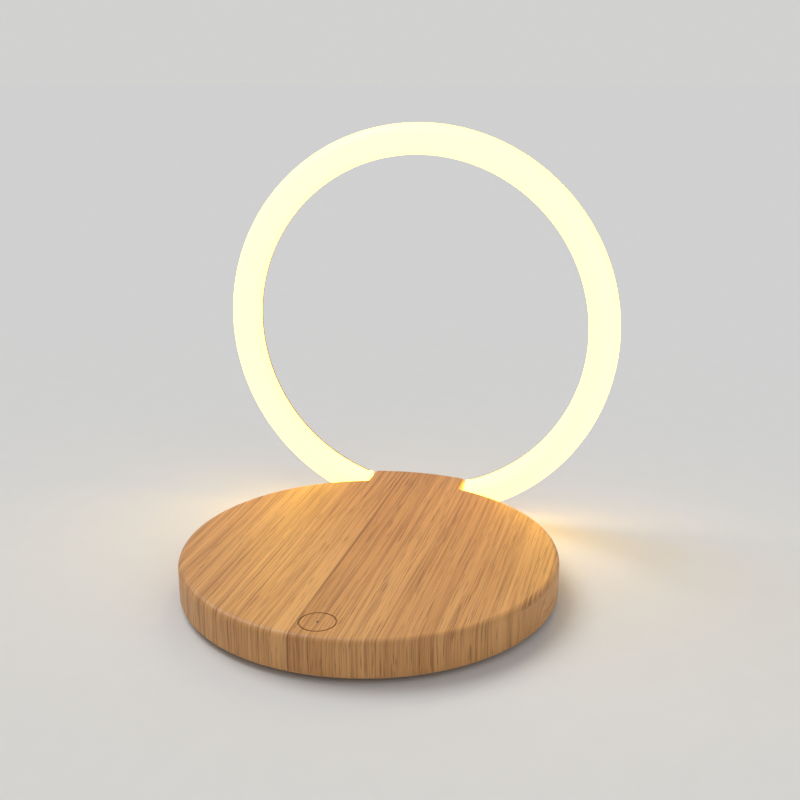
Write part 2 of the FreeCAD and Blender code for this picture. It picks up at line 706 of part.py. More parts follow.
def led_chips():
    first = math.degrees(math.asin(LED_BOARD_END_X / RING_MID_R)) + FIRST_LED_TURN
    step = (360 - 2 * first) / (LED_COUNT - 1)
    chips_on_strip = []
    for index in range(LED_COUNT):
        led = block(-LED_LENGTH / 2, LED_LENGTH / 2, PIVOT_Y + LED_BOARD_FRONT - LED_HEIGHT,
                    PIVOT_Y + LED_BOARD_FRONT, RING_Z - RING_MID_R - LED_WIDTH / 2,
                    RING_Z - RING_MID_R + LED_WIDTH / 2)
        led.rotate(Vector(0, 0, RING_Z), ALONG_Y, first + index * step)
        chips_on_strip.append(led)
    return Part.Compound(chips_on_strip)


def ring_end_cap(with_lead_hole):
    """The right cap: a plate over the end of the ring and a spigot inside its channel."""
    plate = ring_envelope().common(slab(RING_GAP_HALF, ARC_END_X))
    spigot = ring_solid(RING_INNER_R + DIFFUSER_WALL + RIB_CLEAR,
                        RING_OUTER_R - DIFFUSER_WALL - RIB_CLEAR, CHANNEL_FRONT + RIB_CLEAR,
                        HOOP_FRONT - 0.05, CHANNEL_ROUND - RIB_CLEAR)
    spigot = spigot.common(slab(ARC_END_X, SPIGOT_END_X))
    cap = plate.fuse(spigot)
    cap = cap.cut(rod(PIN_R, RING_GAP_HALF - 1, PIN_OUTER_X))
    if with_lead_hole:
        start = Vector(PIN_OUTER_X - 1.5, PIVOT_Y, PIVOT_Z - 0.3)
        reach = Vector(SPIGOT_END_X + 1.5, PIVOT_Y, PIVOT_Z + 3.6) - start
        cap = cap.cut(Part.makeCylinder(PIN_BORE_R, reach.Length, start, reach))
    return cap


def ring_lead():
    lead_end_x = LED_BOARD_END_X + 0.6
    end_z = RING_Z - math.sqrt(RING_MID_R ** 2 - lead_end_x ** 2)
    board_y = PIVOT_Y + LED_BOARD_FRONT - 0.6
    return routed_wire([(HARNESS_END_X + 0.3, PIVOT_Y, PIVOT_Z),
                        (PIN_OUTER_X - 0.6, PIVOT_Y, PIVOT_Z),
                        (SPIGOT_END_X + 0.6, PIVOT_Y - 0.2, PIVOT_Z + 3.2),
                        (lead_end_x, board_y, end_z)], LEAD_R)


def make_parts():
    right_bracket = hinge_bracket()
    right_washer = thrust_washer()
    right_pin = hinge_pin()
    right_spring = spring_washer()
    right_nut = hinge_nut()
    return {
        "base_body": base_body(),
        "bottom_cover": bottom_cover(),
        "anti_slip_pad": anti_slip_pad(),
        "cover_screws": Part.Compound([cover_screw(*screw_place(a)) for a in SCREW_ANGLES]),
        "coil_tray": coil_tray(),
        "coil_shield_plate": slotted_disc(SHIELD_R, SHIELD_Z, FERRITE_Z),
        "ferrite_sheet": slotted_disc(FERRITE_R, FERRITE_Z, COIL_Z),
        "charging_coil": charging_coil(),
        "coil_thermistor": coil_thermistor(),
        "coil_leads": coil_leads(),
        "main_board": main_board(),
        "board_screws": board_screws(),
        "charge_controller": charge_controller(),
        "bridge_transistors": chips(((-1.5, 46.5), (-1.5, 40.5)), 3.3, 3.3, 1.0),
        "resonant_capacitors": chips(((-9.5, 33.5), (-13.0, 33.5), (9.0, 35.5), (12.5, 35.5)),
                                     2.5, 3.2, 1.8),
        "power_inductor": power_inductor(),
        "bulk_capacitors": bulk_capacitors(),
        "led_driver": chip(12.5, 40.5, 3.0, 3.0, 1.1),
        "led_connector": led_connector(),
        "touch_connector": touch_connector(),
        "usb_c_shell": usb_c_shell(),
        "usb_c_tongue": usb_c_tongue(),
        "port_bezel": port_bezel(),
        "touch_board": touch_board(),
        "touch_electrode": touch_electrode(),
        "touch_foam": touch_foam(),
        "touch_controller": touch_controller(),
        "touch_header": touch_header(),
        "touch_harness": touch_harness(),
        "indicator_led": indicator_led(),
        "indicator_light_pipe": indicator_light_pipe(),
        "hinge_bracket_left": mirrored(right_bracket),
        "hinge_bracket_right": right_bracket,
        "bracket_screws": bracket_screws(),
        "thrust_washer_left": mirrored(right_washer),
        "thrust_washer_right": right_washer,
        "led_harness": led_harness(),
        "hinge_pin_left": mirrored(right_pin),
        "hinge_pin_right": right_pin,
        "spring_washer_left": mirrored(right_spring),
        "spring_washer_right": right_spring,
        "hinge_nut_left": mirrored(right_nut),
        "hinge_nut_right": right_nut,
        "ring_end_cap_left": mirrored(ring_end_cap(False)),
        "ring_end_cap_right": ring_end_cap(True),
        "ring_diffuser": ring_diffuser(),
        "ring_hoop": ring_hoop(),
        "led_board": led_board(),
        "led_chips": led_chips(),
        "ring_lead": ring_lead(),
    }


for name, shape in make_parts().items():
    shape.exportStep("parts/%s.step" % name)
    print("%-22s solids %2d valid %s volume %9.2f" % (name, len(shape.Solids), shape.isValid(),
                                                      shape.Volume))
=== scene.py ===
# %% [markdown]
# # A bamboo charging pad with a folding ring lamp
# The object is a thick wooden disc that charges a phone, with a ring lamp hinged at its back edge.
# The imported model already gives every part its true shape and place, so this lesson adds what the
# eye reads: the swept lamp ring, the wound coil, the small repeated parts, and every finish.

# %% Load the fixed frame
import math

import bmesh
import bpy
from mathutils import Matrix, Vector


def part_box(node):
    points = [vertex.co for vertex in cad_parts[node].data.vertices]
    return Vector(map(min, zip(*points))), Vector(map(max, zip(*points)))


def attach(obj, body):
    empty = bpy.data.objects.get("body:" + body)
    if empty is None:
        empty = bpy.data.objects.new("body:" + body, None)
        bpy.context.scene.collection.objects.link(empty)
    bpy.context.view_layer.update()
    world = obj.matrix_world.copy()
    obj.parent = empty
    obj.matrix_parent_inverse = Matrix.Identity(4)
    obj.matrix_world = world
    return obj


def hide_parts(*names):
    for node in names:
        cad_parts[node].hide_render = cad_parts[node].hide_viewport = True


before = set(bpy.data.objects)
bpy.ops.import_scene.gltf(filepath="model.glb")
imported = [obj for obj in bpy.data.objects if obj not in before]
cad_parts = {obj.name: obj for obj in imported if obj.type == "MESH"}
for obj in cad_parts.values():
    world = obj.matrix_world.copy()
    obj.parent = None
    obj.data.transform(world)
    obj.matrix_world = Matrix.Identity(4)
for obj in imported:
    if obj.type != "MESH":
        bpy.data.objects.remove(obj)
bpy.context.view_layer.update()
print("parts loaded:", len(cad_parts))

# %% [markdown]
# ## The measures that the looks need
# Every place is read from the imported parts' own boxes, so nothing has to be fitted by eye. Only
# small sizes that a box can't tell, such as a corner's radius, are written out, in metres.

# %% Measures of the pad and the lamp
MM = 0.001
pad_low, pad_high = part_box("base_body")
shell_low, shell_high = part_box("ring_diffuser")
hoop_low, hoop_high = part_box("ring_hoop")
pipe_low, pipe_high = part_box("indicator_light_pipe")

pad_radius = pad_high.x
pad_top = pad_high.z
ring_outer = shell_high.x
ring_width = 11 * MM
ring_inner = ring_outer - ring_width
ring_centre_z = shell_high.z - ring_outer
ring_middle = (ring_inner + ring_outer) / 2
key_centre = ((pipe_low.x + pipe_high.x) / 2, (pipe_low.y + pipe_high.y) / 2)
key_radius = 5.6 * MM
print("pad radius and top in mm:", round(pad_radius / MM, 2), round(pad_top / MM, 2))
print("lamp ring radii in mm:", round(ring_inner / MM, 2), round(ring_outer / MM, 2))

# %% [markdown]
# ## Helpers for node work
# Shader trees and geometry trees are wired in the same way: add a node, set its options, then fill
# each input with a plain value or with another node's output. One helper does that for both.

# %% Helper that adds a node
def add(tree, kind, given=None, **options):
    """Adds a node, sets its options and fills its inputs with values or with links."""
    made = tree.nodes.new(kind)
    for name, value in options.items():
        setattr(made, name, value)
    for key, value in (given or {}).items():
        if isinstance(value, bpy.types.NodeSocket):
            tree.links.new(value, made.inputs[key])
        else:
            made.inputs[key].default_value = value
    return made


print("node helper ready:", add.__name__)

# %% [markdown]
# Arithmetic, soft steps, mixes of two colours and the joining and splitting of places come back in
# every tree, so each gets a short name. Colours are written in linear light, because that is what
# shaders reckon with.

# %% Helpers for arithmetic, places and colour
def reckon(tree, operation, *values):
    """Adds one step of arithmetic and gives back its result."""
    return add(tree, "ShaderNodeMath", dict(enumerate(values)), operation=operation).outputs[0]


def fade(tree, value, low, high, to_low=0.0, to_high=1.0):
    """Turns the range from low to high into a soft step between two values."""
    given = {"Value": value, "From Min": low, "From Max": high, "To Min": to_low, "To Max": to_high}
    made = add(tree, "ShaderNodeMapRange", given, interpolation_type="SMOOTHSTEP")
    return made.outputs["Result"]


def blend_colours(tree, share, first, second, mode="MIX"):
    """Mixes two colours by a share from 0 to 1."""
    given = {0: share, 6: first, 7: second}
    return add(tree, "ShaderNodeMix", given, data_type="RGBA", blend_type=mode).outputs[2]


def point(tree, x=0.0, y=0.0, z=0.0):
    """Joins three numbers into a place, a size or a turn."""
    return add(tree, "ShaderNodeCombineXYZ", {0: x, 1: y, 2: z}).outputs[0]


def parts_of(tree, vector):
    """Splits a place into its three numbers."""
    return add(tree, "ShaderNodeSeparateXYZ", {0: vector}).outputs


def paint(red, green, blue):
    """A colour with full opacity, in linear light."""
    return (red, green, blue, 1.0)


short_names = (reckon, fade, blend_colours, point, parts_of, paint)
print("short names ready:", [helper.__name__ for helper in short_names])

# %% [markdown]
# ## Effects that several finishes share
# Grain, moulded texture and drawn metal come back on many parts, so each one is a node group with
# named inputs. A group gives out only colours and heights, and the shader stays in the material.

# %% Helper that opens a shared effect
def open_effect(name, takes, gives):
    """Makes an empty shader group with named inputs and outputs."""
    group = bpy.data.node_groups.new(name, "ShaderNodeTree")
    for label, kind, value in takes:
        socket = group.interface.new_socket(label, in_out="INPUT", socket_type=kind)
        if value is not None:
            socket.default_value = value
    for label, kind in gives:
        group.interface.new_socket(label, in_out="OUTPUT", socket_type=kind)
    entry = group.nodes.new("NodeGroupInput")
    leave = group.nodes.new("NodeGroupOutput")
    return group, entry.outputs, leave.inputs


NUMBER = "NodeSocketFloat"
COLOUR = "NodeSocketColor"
PLACE = "NodeSocketVector"
print("kinds of input:", NUMBER, COLOUR, PLACE)

# %% [markdown]
# ### Bamboo board
# The pad is turned from a board of bamboo slats glued edge to edge. The slats run from front to
# back, so the colour changes mostly from left to right: a tone for each slat, a fine dark glue
# line between some of them, long fibres, and short dark flecks where the plant's vessels are cut.
# Noise that is stretched along the slats gives all of these.

# %% Open the bamboo effect
bamboo, taken, given = open_effect(
    "bamboo board",
    [("Slat Width", NUMBER, 0.0133), ("Slat Edge", NUMBER, -0.0055), ("Slat Seed", NUMBER, 2151.0),
     ("Line Seed", NUMBER, 3269.0), ("Pale", COLOUR, None), ("Deep", COLOUR, None),
     ("Line", COLOUR, None)],
    [("Color", COLOUR), ("Roughness", NUMBER), ("Height", NUMBER)])
print("bamboo inputs:", [socket.name for socket in taken if socket.name])

# %% [markdown]
# #### Where a point lies on the slats
# The place across the board, bowed a little by slow noise, gives the number of the slat. On the left
# and right flanks the fibres are seen from the side, so there the pattern turns to lie level.

# %% Find the slat and the flank
FLANK_STARTS = 0.86
FLANK_FULL = 0.97
SLAT_BOW = 0.9 * MM
spot = add(bamboo, "ShaderNodeTexCoord")
spot_parts = parts_of(bamboo, spot.outputs["Object"])
facing = parts_of(bamboo, spot.outputs["Normal"])
flank = fade(bamboo, reckon(bamboo, "ABSOLUTE", facing[0]), FLANK_STARTS, FLANK_FULL)

wander_place = add(bamboo, "ShaderNodeMapping", {"Vector": spot.outputs["Object"],
                                                "Scale": (30, 14, 14)}).outputs[0]
wander = add(bamboo, "ShaderNodeTexNoise", {"Vector": wander_place, "Scale": 1.0,
                                            "Detail": 1.0}).outputs["Fac"]
bowed = reckon(bamboo, "MULTIPLY_ADD", wander, SLAT_BOW, spot_parts[0])
across = add(bamboo, "ShaderNodeMix", {0: flank, 2: bowed, 3: spot_parts[2]},
             data_type="FLOAT").outputs[0]
slat_place = reckon(bamboo, "DIVIDE", reckon(bamboo, "SUBTRACT", bowed, taken["Slat Edge"]),
                    taken["Slat Width"])
slat_number = reckon(bamboo, "FLOOR", slat_place)
slat_tone = add(bamboo, "ShaderNodeTexWhiteNoise",
                {"W": reckon(bamboo, "ADD", slat_number, taken["Slat Seed"])},
                noise_dimensions="1D").outputs["Value"]
print("flank turns between:", FLANK_STARTS, FLANK_FULL)

# %% [markdown]
# #### Fibres, flecks and veins
# All the marks are one noise at different sizes: narrow across the slats and long along them. Each
# slat shifts it by its own number, so no mark runs on from one slat into the next.

# %% Make the fibres, flecks and veins
FIBRE_WIDE = 0.55 * MM
BAND_WIDE = 2.4 * MM
FLECK_WIDE = 0.40 * MM
VEIN_WIDE = 1.1 * MM
SLAT_SHIFT = 17.3
UPRIGHT_SHARE = 0.6


def fibres(width, run, detail, shift):
    """Noise that is narrow across the slats and long along them."""
    along = reckon(bamboo, "DIVIDE", spot_parts[1], run)
    level = reckon(bamboo, "DIVIDE", spot_parts[2], run * UPRIGHT_SHARE)
    drop = add(bamboo, "ShaderNodeMix", {0: flank, 2: level, 3: 0.0}, data_type="FLOAT").outputs[0]
    side = reckon(bamboo, "ADD", reckon(bamboo, "DIVIDE", across, width),
                  reckon(bamboo, "MULTIPLY_ADD", slat_number, SLAT_SHIFT, shift))
    place = point(bamboo, side, along, drop)
    return add(bamboo, "ShaderNodeTexNoise", {"Vector": place, "Scale": 1.0, "Detail": detail,
                                              "Roughness": 0.62}).outputs["Fac"]


fine = fibres(FIBRE_WIDE, 60 * MM, 4.0, 0.0)
broad = fibres(BAND_WIDE, 110 * MM, 2.0, 5.0)
fleck = fade(bamboo, fibres(FLECK_WIDE, 16 * MM, 1.0, 9.0), 0.60, 0.70)
vein = fade(bamboo, fibres(VEIN_WIDE, 90 * MM, 2.0, 2.0), 0.58, 0.70)
mark_widths = (FIBRE_WIDE, BAND_WIDE, FLECK_WIDE, VEIN_WIDE)
print("widths of the marks in mm:", [round(width / MM, 2) for width in mark_widths])

# %% [markdown]
# #### Glue lines and the finished wood
# Only some seams between slats show as a dark line, so each seam gets its own strength. The tones,
# the fibres and the marks are then laid over each other, and the same marks give the relief.

# %% Lay the wood together
LEAST_TONE = 0.04
SLAT_TONE = 0.36
BAND_TONE = 0.40
FIBRE_TONE = 0.54
FLECK_TONE = 0.55
VEIN_TONE = 0.34
FAINTEST_LINE = 0.12
DARKEST_LINE = 0.74
line_number = reckon(bamboo, "ROUND", slat_place)
line_strength = add(bamboo, "ShaderNodeTexWhiteNoise",
                    {"W": reckon(bamboo, "ADD", line_number, taken["Line Seed"])},
                    noise_dimensions="1D").outputs["Value"]
line_gap = reckon(bamboo, "MULTIPLY", reckon(bamboo, "ABSOLUTE", reckon(
    bamboo, "SUBTRACT", slat_place, line_number)), taken["Slat Width"])
glue_line = reckon(bamboo, "MULTIPLY", fade(bamboo, line_gap, 0.12 * MM, 0.34 * MM, 1.0, 0.0),
                   fade(bamboo, line_strength, 0.2, 0.95, FAINTEST_LINE, DARKEST_LINE))
glue_line = reckon(bamboo, "MULTIPLY", glue_line, reckon(bamboo, "SUBTRACT", 1.0, flank))

body_tone = reckon(bamboo, "MULTIPLY_ADD", slat_tone, SLAT_TONE, reckon(
    bamboo, "MULTIPLY_ADD", fade(bamboo, broad, 0.3, 0.7), BAND_TONE, LEAST_TONE))
wood = blend_colours(bamboo, body_tone, taken["Pale"], taken["Deep"])
fibre_mark = fade(bamboo, fine, 0.44, 0.70, 0.0, FIBRE_TONE)
wood = blend_colours(bamboo, fibre_mark, wood, taken["Line"])
mark = reckon(bamboo, "MAXIMUM", reckon(bamboo, "MULTIPLY", fleck, FLECK_TONE),
              reckon(bamboo, "MULTIPLY", vein, VEIN_TONE))
wood = blend_colours(bamboo, reckon(bamboo, "MAXIMUM", mark, glue_line), wood, taken["Line"])
bamboo.links.new(wood, given["Color"])
bamboo.links.new(fade(bamboo, fine, 0.3, 0.75, 0.44, 0.62), given["Roughness"])
bamboo.links.new(reckon(bamboo, "SUBTRACT", reckon(bamboo, "MULTIPLY", fine, -0.6),
                        reckon(bamboo, "MAXIMUM", glue_line, fleck)), given["Height"])
print("bamboo effect nodes:", len(bamboo.nodes))

# %% [markdown]
# ### Moulded texture
# A plastic housing carries the spark texture of its mould: a fine random pitting. Handling leaves
# faint duller patches. Two sizes of noise give both, one for height and one for tone.

# %% Build the moulded texture effect
moulded, taken, given = open_effect(
    "moulded texture",
    [("Grain Size", NUMBER, 0.0003), ("Color", COLOUR, None), ("Dull", NUMBER, 0.5),
     ("Tone Change", NUMBER, 0.12)],
    [("Color", COLOUR), ("Roughness", NUMBER), ("Height", NUMBER)])
spot = add(moulded, "ShaderNodeTexCoord").outputs["Object"]
pits = add(moulded, "ShaderNodeTexNoise", {
    "Vector": spot, "Scale": reckon(moulded, "DIVIDE", 1.0, taken["Grain Size"]),
    "Detail": 2.0}).outputs["Fac"]
patches = add(moulded, "ShaderNodeTexNoise", {"Vector": spot, "Scale": 90.0,
                                              "Detail": 3.0}).outputs["Fac"]
handled = fade(moulded, patches, 0.35, 0.7)
lift = reckon(moulded, "MULTIPLY", taken["Tone Change"], reckon(
    moulded, "ADD", reckon(moulded, "MULTIPLY", handled, 0.6), reckon(moulded, "MULTIPLY", pits, 0.8)))
lighter = blend_colours(moulded, 1.0, taken["Color"], paint(0.55, 0.55, 0.55), "ADD")
moulded.links.new(blend_colours(moulded, lift, taken["Color"], lighter), given["Color"])
moulded.links.new(reckon(moulded, "MULTIPLY_ADD", handled, 0.14, taken["Dull"]), given["Roughness"])
moulded.links.new(pits, given["Height"])
print("moulded texture nodes:", len(moulded.nodes))

# %% [markdown]
# ### Drawn and plated metal
# Metal parts here are drawn, rolled or plated. Fine scratches run one way, and the plating has a
# cloudy tone. A noise stretched along one axis makes the scratches, and a plain one the clouds.

# %% Build the metal effect
drawn, taken, given = open_effect(
    "drawn metal",
    [("Stretch", PLACE, None), ("Color", COLOUR, None), ("Stain", COLOUR, None),
     ("Dull", NUMBER, 0.28)],
    [("Color", COLOUR), ("Roughness", NUMBER), ("Height", NUMBER)])
spot = add(drawn, "ShaderNodeTexCoord").outputs["Object"]
stretched = add(drawn, "ShaderNodeVectorMath", {0: spot, 1: taken["Stretch"]},
                operation="MULTIPLY").outputs[0]
scratches = add(drawn, "ShaderNodeTexNoise", {"Vector": stretched, "Scale": 1.0,
                                              "Detail": 3.0}).outputs["Fac"]
clouds = add(drawn, "ShaderNodeTexNoise", {"Vector": spot, "Scale": 260.0,
                                           "Detail": 3.0}).outputs["Fac"]
drawn.links.new(blend_colours(drawn, fade(drawn, clouds, 0.35, 0.75), taken["Color"],
                              taken["Stain"]), given["Color"])
drawn.links.new(reckon(drawn, "ADD", taken["Dull"], fade(drawn, scratches, 0.3, 0.7, 0.0, 0.2)),
                given["Roughness"])
drawn.links.new(scratches, given["Height"])
print("drawn metal nodes:", len(drawn.nodes))

# %% [markdown]
# ### Circuit board
# A board's solder mask shows the copper under it as slightly paler lines, and bare metal where
# drilled holes are plated. Square cells choose which way the lines run, as a router would, and
# scattered dots are the plated holes.

# %% Build the circuit board effect
board, taken, given = open_effect(
    "circuit board",
    [("Mask", COLOUR, None), ("Track", COLOUR, None), ("Hole", COLOUR, None),
     ("Track Pitch", NUMBER, 0.0011)],
    [("Color", COLOUR), ("Roughness", NUMBER), ("Height", NUMBER)])
spot = add(board, "ShaderNodeTexCoord").outputs["Object"]
spot_parts = parts_of(board, spot)
cells = add(board, "ShaderNodeTexVoronoi", {"Vector": spot, "Scale": 170.0},
            distance="CHEBYCHEV").outputs["Color"]
turned = reckon(board, "GREATER_THAN", add(board, "ShaderNodeSeparateColor",
                                           {0: cells}).outputs[0], 0.5)
run_place = add(board, "ShaderNodeMix", {0: turned, 2: spot_parts[0], 3: spot_parts[1]},
                data_type="FLOAT").outputs[0]
in_pitch = reckon(board, "FRACT", reckon(board, "DIVIDE", run_place, taken["Track Pitch"]))
from_middle = reckon(board, "ABSOLUTE", reckon(board, "SUBTRACT", in_pitch, 0.5))
track = fade(board, from_middle, 0.14, 0.19, 1.0, 0.0)
holes = add(board, "ShaderNodeTexVoronoi", {"Vector": spot, "Scale": 330.0}).outputs["Distance"]
hole = fade(board, holes, 0.10, 0.13, 1.0, 0.0)
face = blend_colours(board, reckon(board, "MULTIPLY", track, 0.7), taken["Mask"], taken["Track"])
board.links.new(blend_colours(board, hole, face, taken["Hole"]), given["Color"])
board.links.new(reckon(board, "MULTIPLY_ADD", track, -0.08, 0.36), given["Roughness"])
board.links.new(reckon(board, "MAXIMUM", track, reckon(board, "MULTIPLY", hole, 1.5)),
                given["Height"])
print("circuit board nodes:", len(board.nodes))

# %% [markdown]
# ## The finishes
# Each finish is one material. A helper opens the material, places the shared effect in it, and
# joins the effect's colour, roughness and height to the shader. What is the same all over the
# surface, such as how metallic it is, is set straight on the shader.

# %% Helper that makes a finish from an effect
def finish_from(name, effect, values, bump=0.00002, strength=0.5, **constants):
    """A material whose colour, roughness and height come from one shared effect."""
    material = bpy.data.materials.new(name)
    material.use_nodes = True
    tree = material.node_tree
    shader = tree.nodes["Principled BSDF"]
    placed = add(tree, "ShaderNodeGroup", node_tree=effect)
    for label, value in values.items():
        placed.inputs[label].default_value = value
    tree.links.new(placed.outputs["Color"], shader.inputs["Base Color"])
    tree.links.new(placed.outputs["Roughness"], shader.inputs["Roughness"])
    relief = add(tree, "ShaderNodeBump", {"Height": placed.outputs["Height"],
                                          "Strength": strength, "Distance": bump})
    tree.links.new(relief.outputs[0], shader.inputs["Normal"])
    for label, value in constants.items():
        shader.inputs[label.replace("_", " ")].default_value = value
    return material, tree, shader, placed


finishes = {}
print("finish helper ready:", finish_from.__name__)

# %% [markdown]
# ### Oiled bamboo on the pad and on the back of the lamp
# The pad adds two things to the plain board: the touch key's ring, which a hot tool has burnt a
# little browner, and a paler line where the sharp bottom edge has been sanded off.

# %% Bamboo finishes
PALE_WOOD = paint(0.78, 0.405, 0.140)
DEEP_WOOD = paint(0.54, 0.235, 0.066)
LINE_WOOD = paint(0.190, 0.062, 0.016)
BURNT_WOOD = paint(0.10, 0.035, 0.012)
SANDED_WOOD = paint(0.86, 0.55, 0.27)
KEY_LINE_INSET = 0.17 * MM
KEY_LINE_TONE = 0.46
SANDED_TONE = 0.45
wood_values = {"Pale": PALE_WOOD, "Deep": DEEP_WOOD, "Line": LINE_WOOD}
oiled = {"bump": 0.00006, "strength": 0.45, "Coat_Weight": 0.12, "Coat_Roughness": 0.32}

pad_wood, tree, shader, placed = finish_from("oiled_bamboo_pad", bamboo, wood_values, **oiled)
spot = add(tree, "ShaderNodeTexCoord").outputs["Object"]
from_key = add(tree, "ShaderNodeVectorMath", {0: spot, 1: (*key_centre, pad_top)},
               operation="SUBTRACT").outputs[0]
key_parts = parts_of(tree, from_key)
from_centre = reckon(tree, "SQRT", reckon(tree, "ADD", reckon(tree, "POWER", key_parts[0], 2.0),
                                          reckon(tree, "POWER", key_parts[1], 2.0)))
from_line = reckon(tree, "ABSOLUTE", reckon(tree, "SUBTRACT", from_centre,
                                             key_radius - KEY_LINE_INSET))
near_top = reckon(tree, "GREATER_THAN", key_parts[2], -1.0 * MM)
burnt = reckon(tree, "MULTIPLY", fade(tree, from_line, 0.16 * MM, 0.40 * MM, KEY_LINE_TONE, 0.0),
               near_top)
height = parts_of(tree, spot)[2]
sanded = fade(tree, height, pad_low.z + 0.35 * MM, pad_low.z + 0.8 * MM, SANDED_TONE, 0.0)
colour = blend_colours(tree, burnt, placed.outputs["Color"], BURNT_WOOD)
colour = blend_colours(tree, sanded, colour, SANDED_WOOD)
tree.links.new(colour, shader.inputs["Base Color"])
finishes["bamboo_wood"] = pad_wood

hoop_wood = finish_from("oiled_bamboo_hoop", bamboo, wood_values, **oiled)[0]
print("wood finishes made:", pad_wood.name, hoop_wood.name)

# %% [markdown]
# ### Lit opal acrylic
# The lamp's front is a hollow opal shell with a strip of warm white lamps behind it. Opal plastic
# spreads the light so well that the shell looks evenly bright, only a touch warmer along its two
# rims, where the light passes through more plastic. The shell's radius tells where the rims are.
# The surface has little gloss, or the key light would draw a white streak across the even glow.

# %% Opal finish
GLOW_MIDDLE = paint(1.0, 0.62, 0.102)
GLOW_RIM = paint(1.0, 0.59, 0.093)
GLOW_STRENGTH = 5.2
OPAL_GLOSS = 0.12
OPAL_MIDDLE = paint(0.88, 0.80, 0.36)
OPAL_RIM = paint(0.85, 0.76, 0.33)
opal = bpy.data.materials.new("lit_opal_acrylic")
opal.use_nodes = True
tree = opal.node_tree
shader = tree.nodes["Principled BSDF"]
spot = add(tree, "ShaderNodeTexCoord").outputs["Object"]
from_hub = add(tree, "ShaderNodeVectorMath", {0: spot, 1: (0.0, 0.0, ring_centre_z)},
               operation="SUBTRACT").outputs[0]
in_plane = add(tree, "ShaderNodeVectorMath", {0: from_hub, 1: (1.0, 0.0, 1.0)},
               operation="MULTIPLY").outputs[0]
radius = add(tree, "ShaderNodeVectorMath", {0: in_plane}, operation="LENGTH").outputs["Value"]
to_rim = reckon(tree, "ABSOLUTE", reckon(tree, "SUBTRACT", radius, ring_middle))
rim_share = fade(tree, to_rim, 0.30 * ring_width, 0.5 * ring_width)
haze = add(tree, "ShaderNodeTexNoise", {"Vector": spot, "Scale": 60.0, "Detail": 2.0})
rim_share = reckon(tree, "MULTIPLY_ADD", haze.outputs["Fac"], 0.10, rim_share)
glow = blend_colours(tree, rim_share, GLOW_MIDDLE, GLOW_RIM)
tree.links.new(glow, shader.inputs["Emission Color"])
shader.inputs["Emission Strength"].default_value = GLOW_STRENGTH
shader.inputs["Specular IOR Level"].default_value = OPAL_GLOSS
plain = blend_colours(tree, rim_share, OPAL_MIDDLE, OPAL_RIM)
tree.links.new(plain, shader.inputs["Base Color"])
tree.links.new(fade(tree, haze.outputs["Fac"], 0.3, 0.7, 0.34, 0.46), shader.inputs["Roughness"])
finishes["opal_diffuser"] = opal
print("lamp glow strength:", GLOW_STRENGTH)

# %% [markdown]
# ### Plastics and rubber
# The cover, the inlet's frame and the lamp's end caps are moulded, and so is the anti-slip foot.
# They share the moulded texture and differ in colour, grain size and dullness.

# %% Moulded finishes
moulded_table = {
    "black_plastic": (paint(0.018, 0.018, 0.019), 0.30 * MM, 0.48, 0.10, 0.00003),
    "grey_plastic": (paint(0.055, 0.055, 0.060), 0.26 * MM, 0.44, 0.10, 0.00003),
    "white_plastic": (paint(0.70, 0.68, 0.60), 0.50 * MM, 0.38, 0.10, 0.00001),
    "silicone": (paint(0.030, 0.030, 0.031), 0.55 * MM, 0.72, 0.14, 0.00005),
    "chip_black": (paint(0.020, 0.020, 0.022), 0.12 * MM, 0.40, 0.06, 0.00001),
    "ceramic_tan": (paint(0.33, 0.20, 0.10), 0.20 * MM, 0.42, 0.12, 0.00001),
    "ferrite": (paint(0.030, 0.029, 0.031), 0.40 * MM, 0.50, 0.16, 0.00002),
    "wire_red": (paint(0.30, 0.010, 0.008), 0.60 * MM, 0.42, 0.10, 0.00001),
}
for slot_name, (colour, grain_size, dull, change, bump) in moulded_table.items():
    finishes[slot_name] = finish_from(
        slot_name + "_finish", moulded,
        {"Color": colour, "Grain Size": grain_size, "Dull": dull, "Tone Change": change},
        bump=bump)[0]
foot_rubber = finishes["silicone"].node_tree
spot = add(foot_rubber, "ShaderNodeTexCoord").outputs["Object"]
dimples = add(foot_rubber, "ShaderNodeTexVoronoi", {"Vector": spot, "Scale": 620.0,
                                                    "Randomness": 0.15}).outputs["Distance"]
dimple = fade(foot_rubber, dimples, 0.20, 0.40, 1.0, 0.0)
foot_bump = add(foot_rubber, "ShaderNodeBump", {"Height": dimple, "Strength": 0.8,
                                                "Distance": 0.00015}).outputs[0]
foot_rubber.links.new(foot_bump, foot_rubber.nodes["Principled BSDF"].inputs["Normal"])
print("moulded finishes:", sorted(moulded_table))

# %% [markdown]
# ### Metals
# Screws and brackets are zinc plated, pins and the inlet's shell are stainless, the shield is
# rolled aluminium foil, and the coil is enamelled copper. Only copper and zinc show much stain.

# %% Metal finishes
metal_table = {
    "zinc_steel": (paint(0.60, 0.61, 0.62), paint(0.48, 0.48, 0.44), (900, 900, 5000), 0.28),
    "stainless": (paint(0.64, 0.63, 0.61), paint(0.55, 0.54, 0.52), (400, 7000, 7000), 0.20),
    "shield_aluminium": (paint(0.80, 0.81, 0.82), paint(0.70, 0.71, 0.72), (7000, 250, 250), 0.26),
    "litz_copper": (paint(0.83, 0.33, 0.13), paint(0.55, 0.18, 0.06), (1500, 1500, 9000), 0.26),
}
for slot_name, (colour, stain, stretch, dull) in metal_table.items():
    finishes[slot_name] = finish_from(
        slot_name + "_finish", drawn,
        {"Color": colour, "Stain": stain, "Stretch": stretch, "Dull": dull},
        bump=0.00001, strength=0.35, Metallic=1.0)[0]
print("metal finishes:", sorted(metal_table))

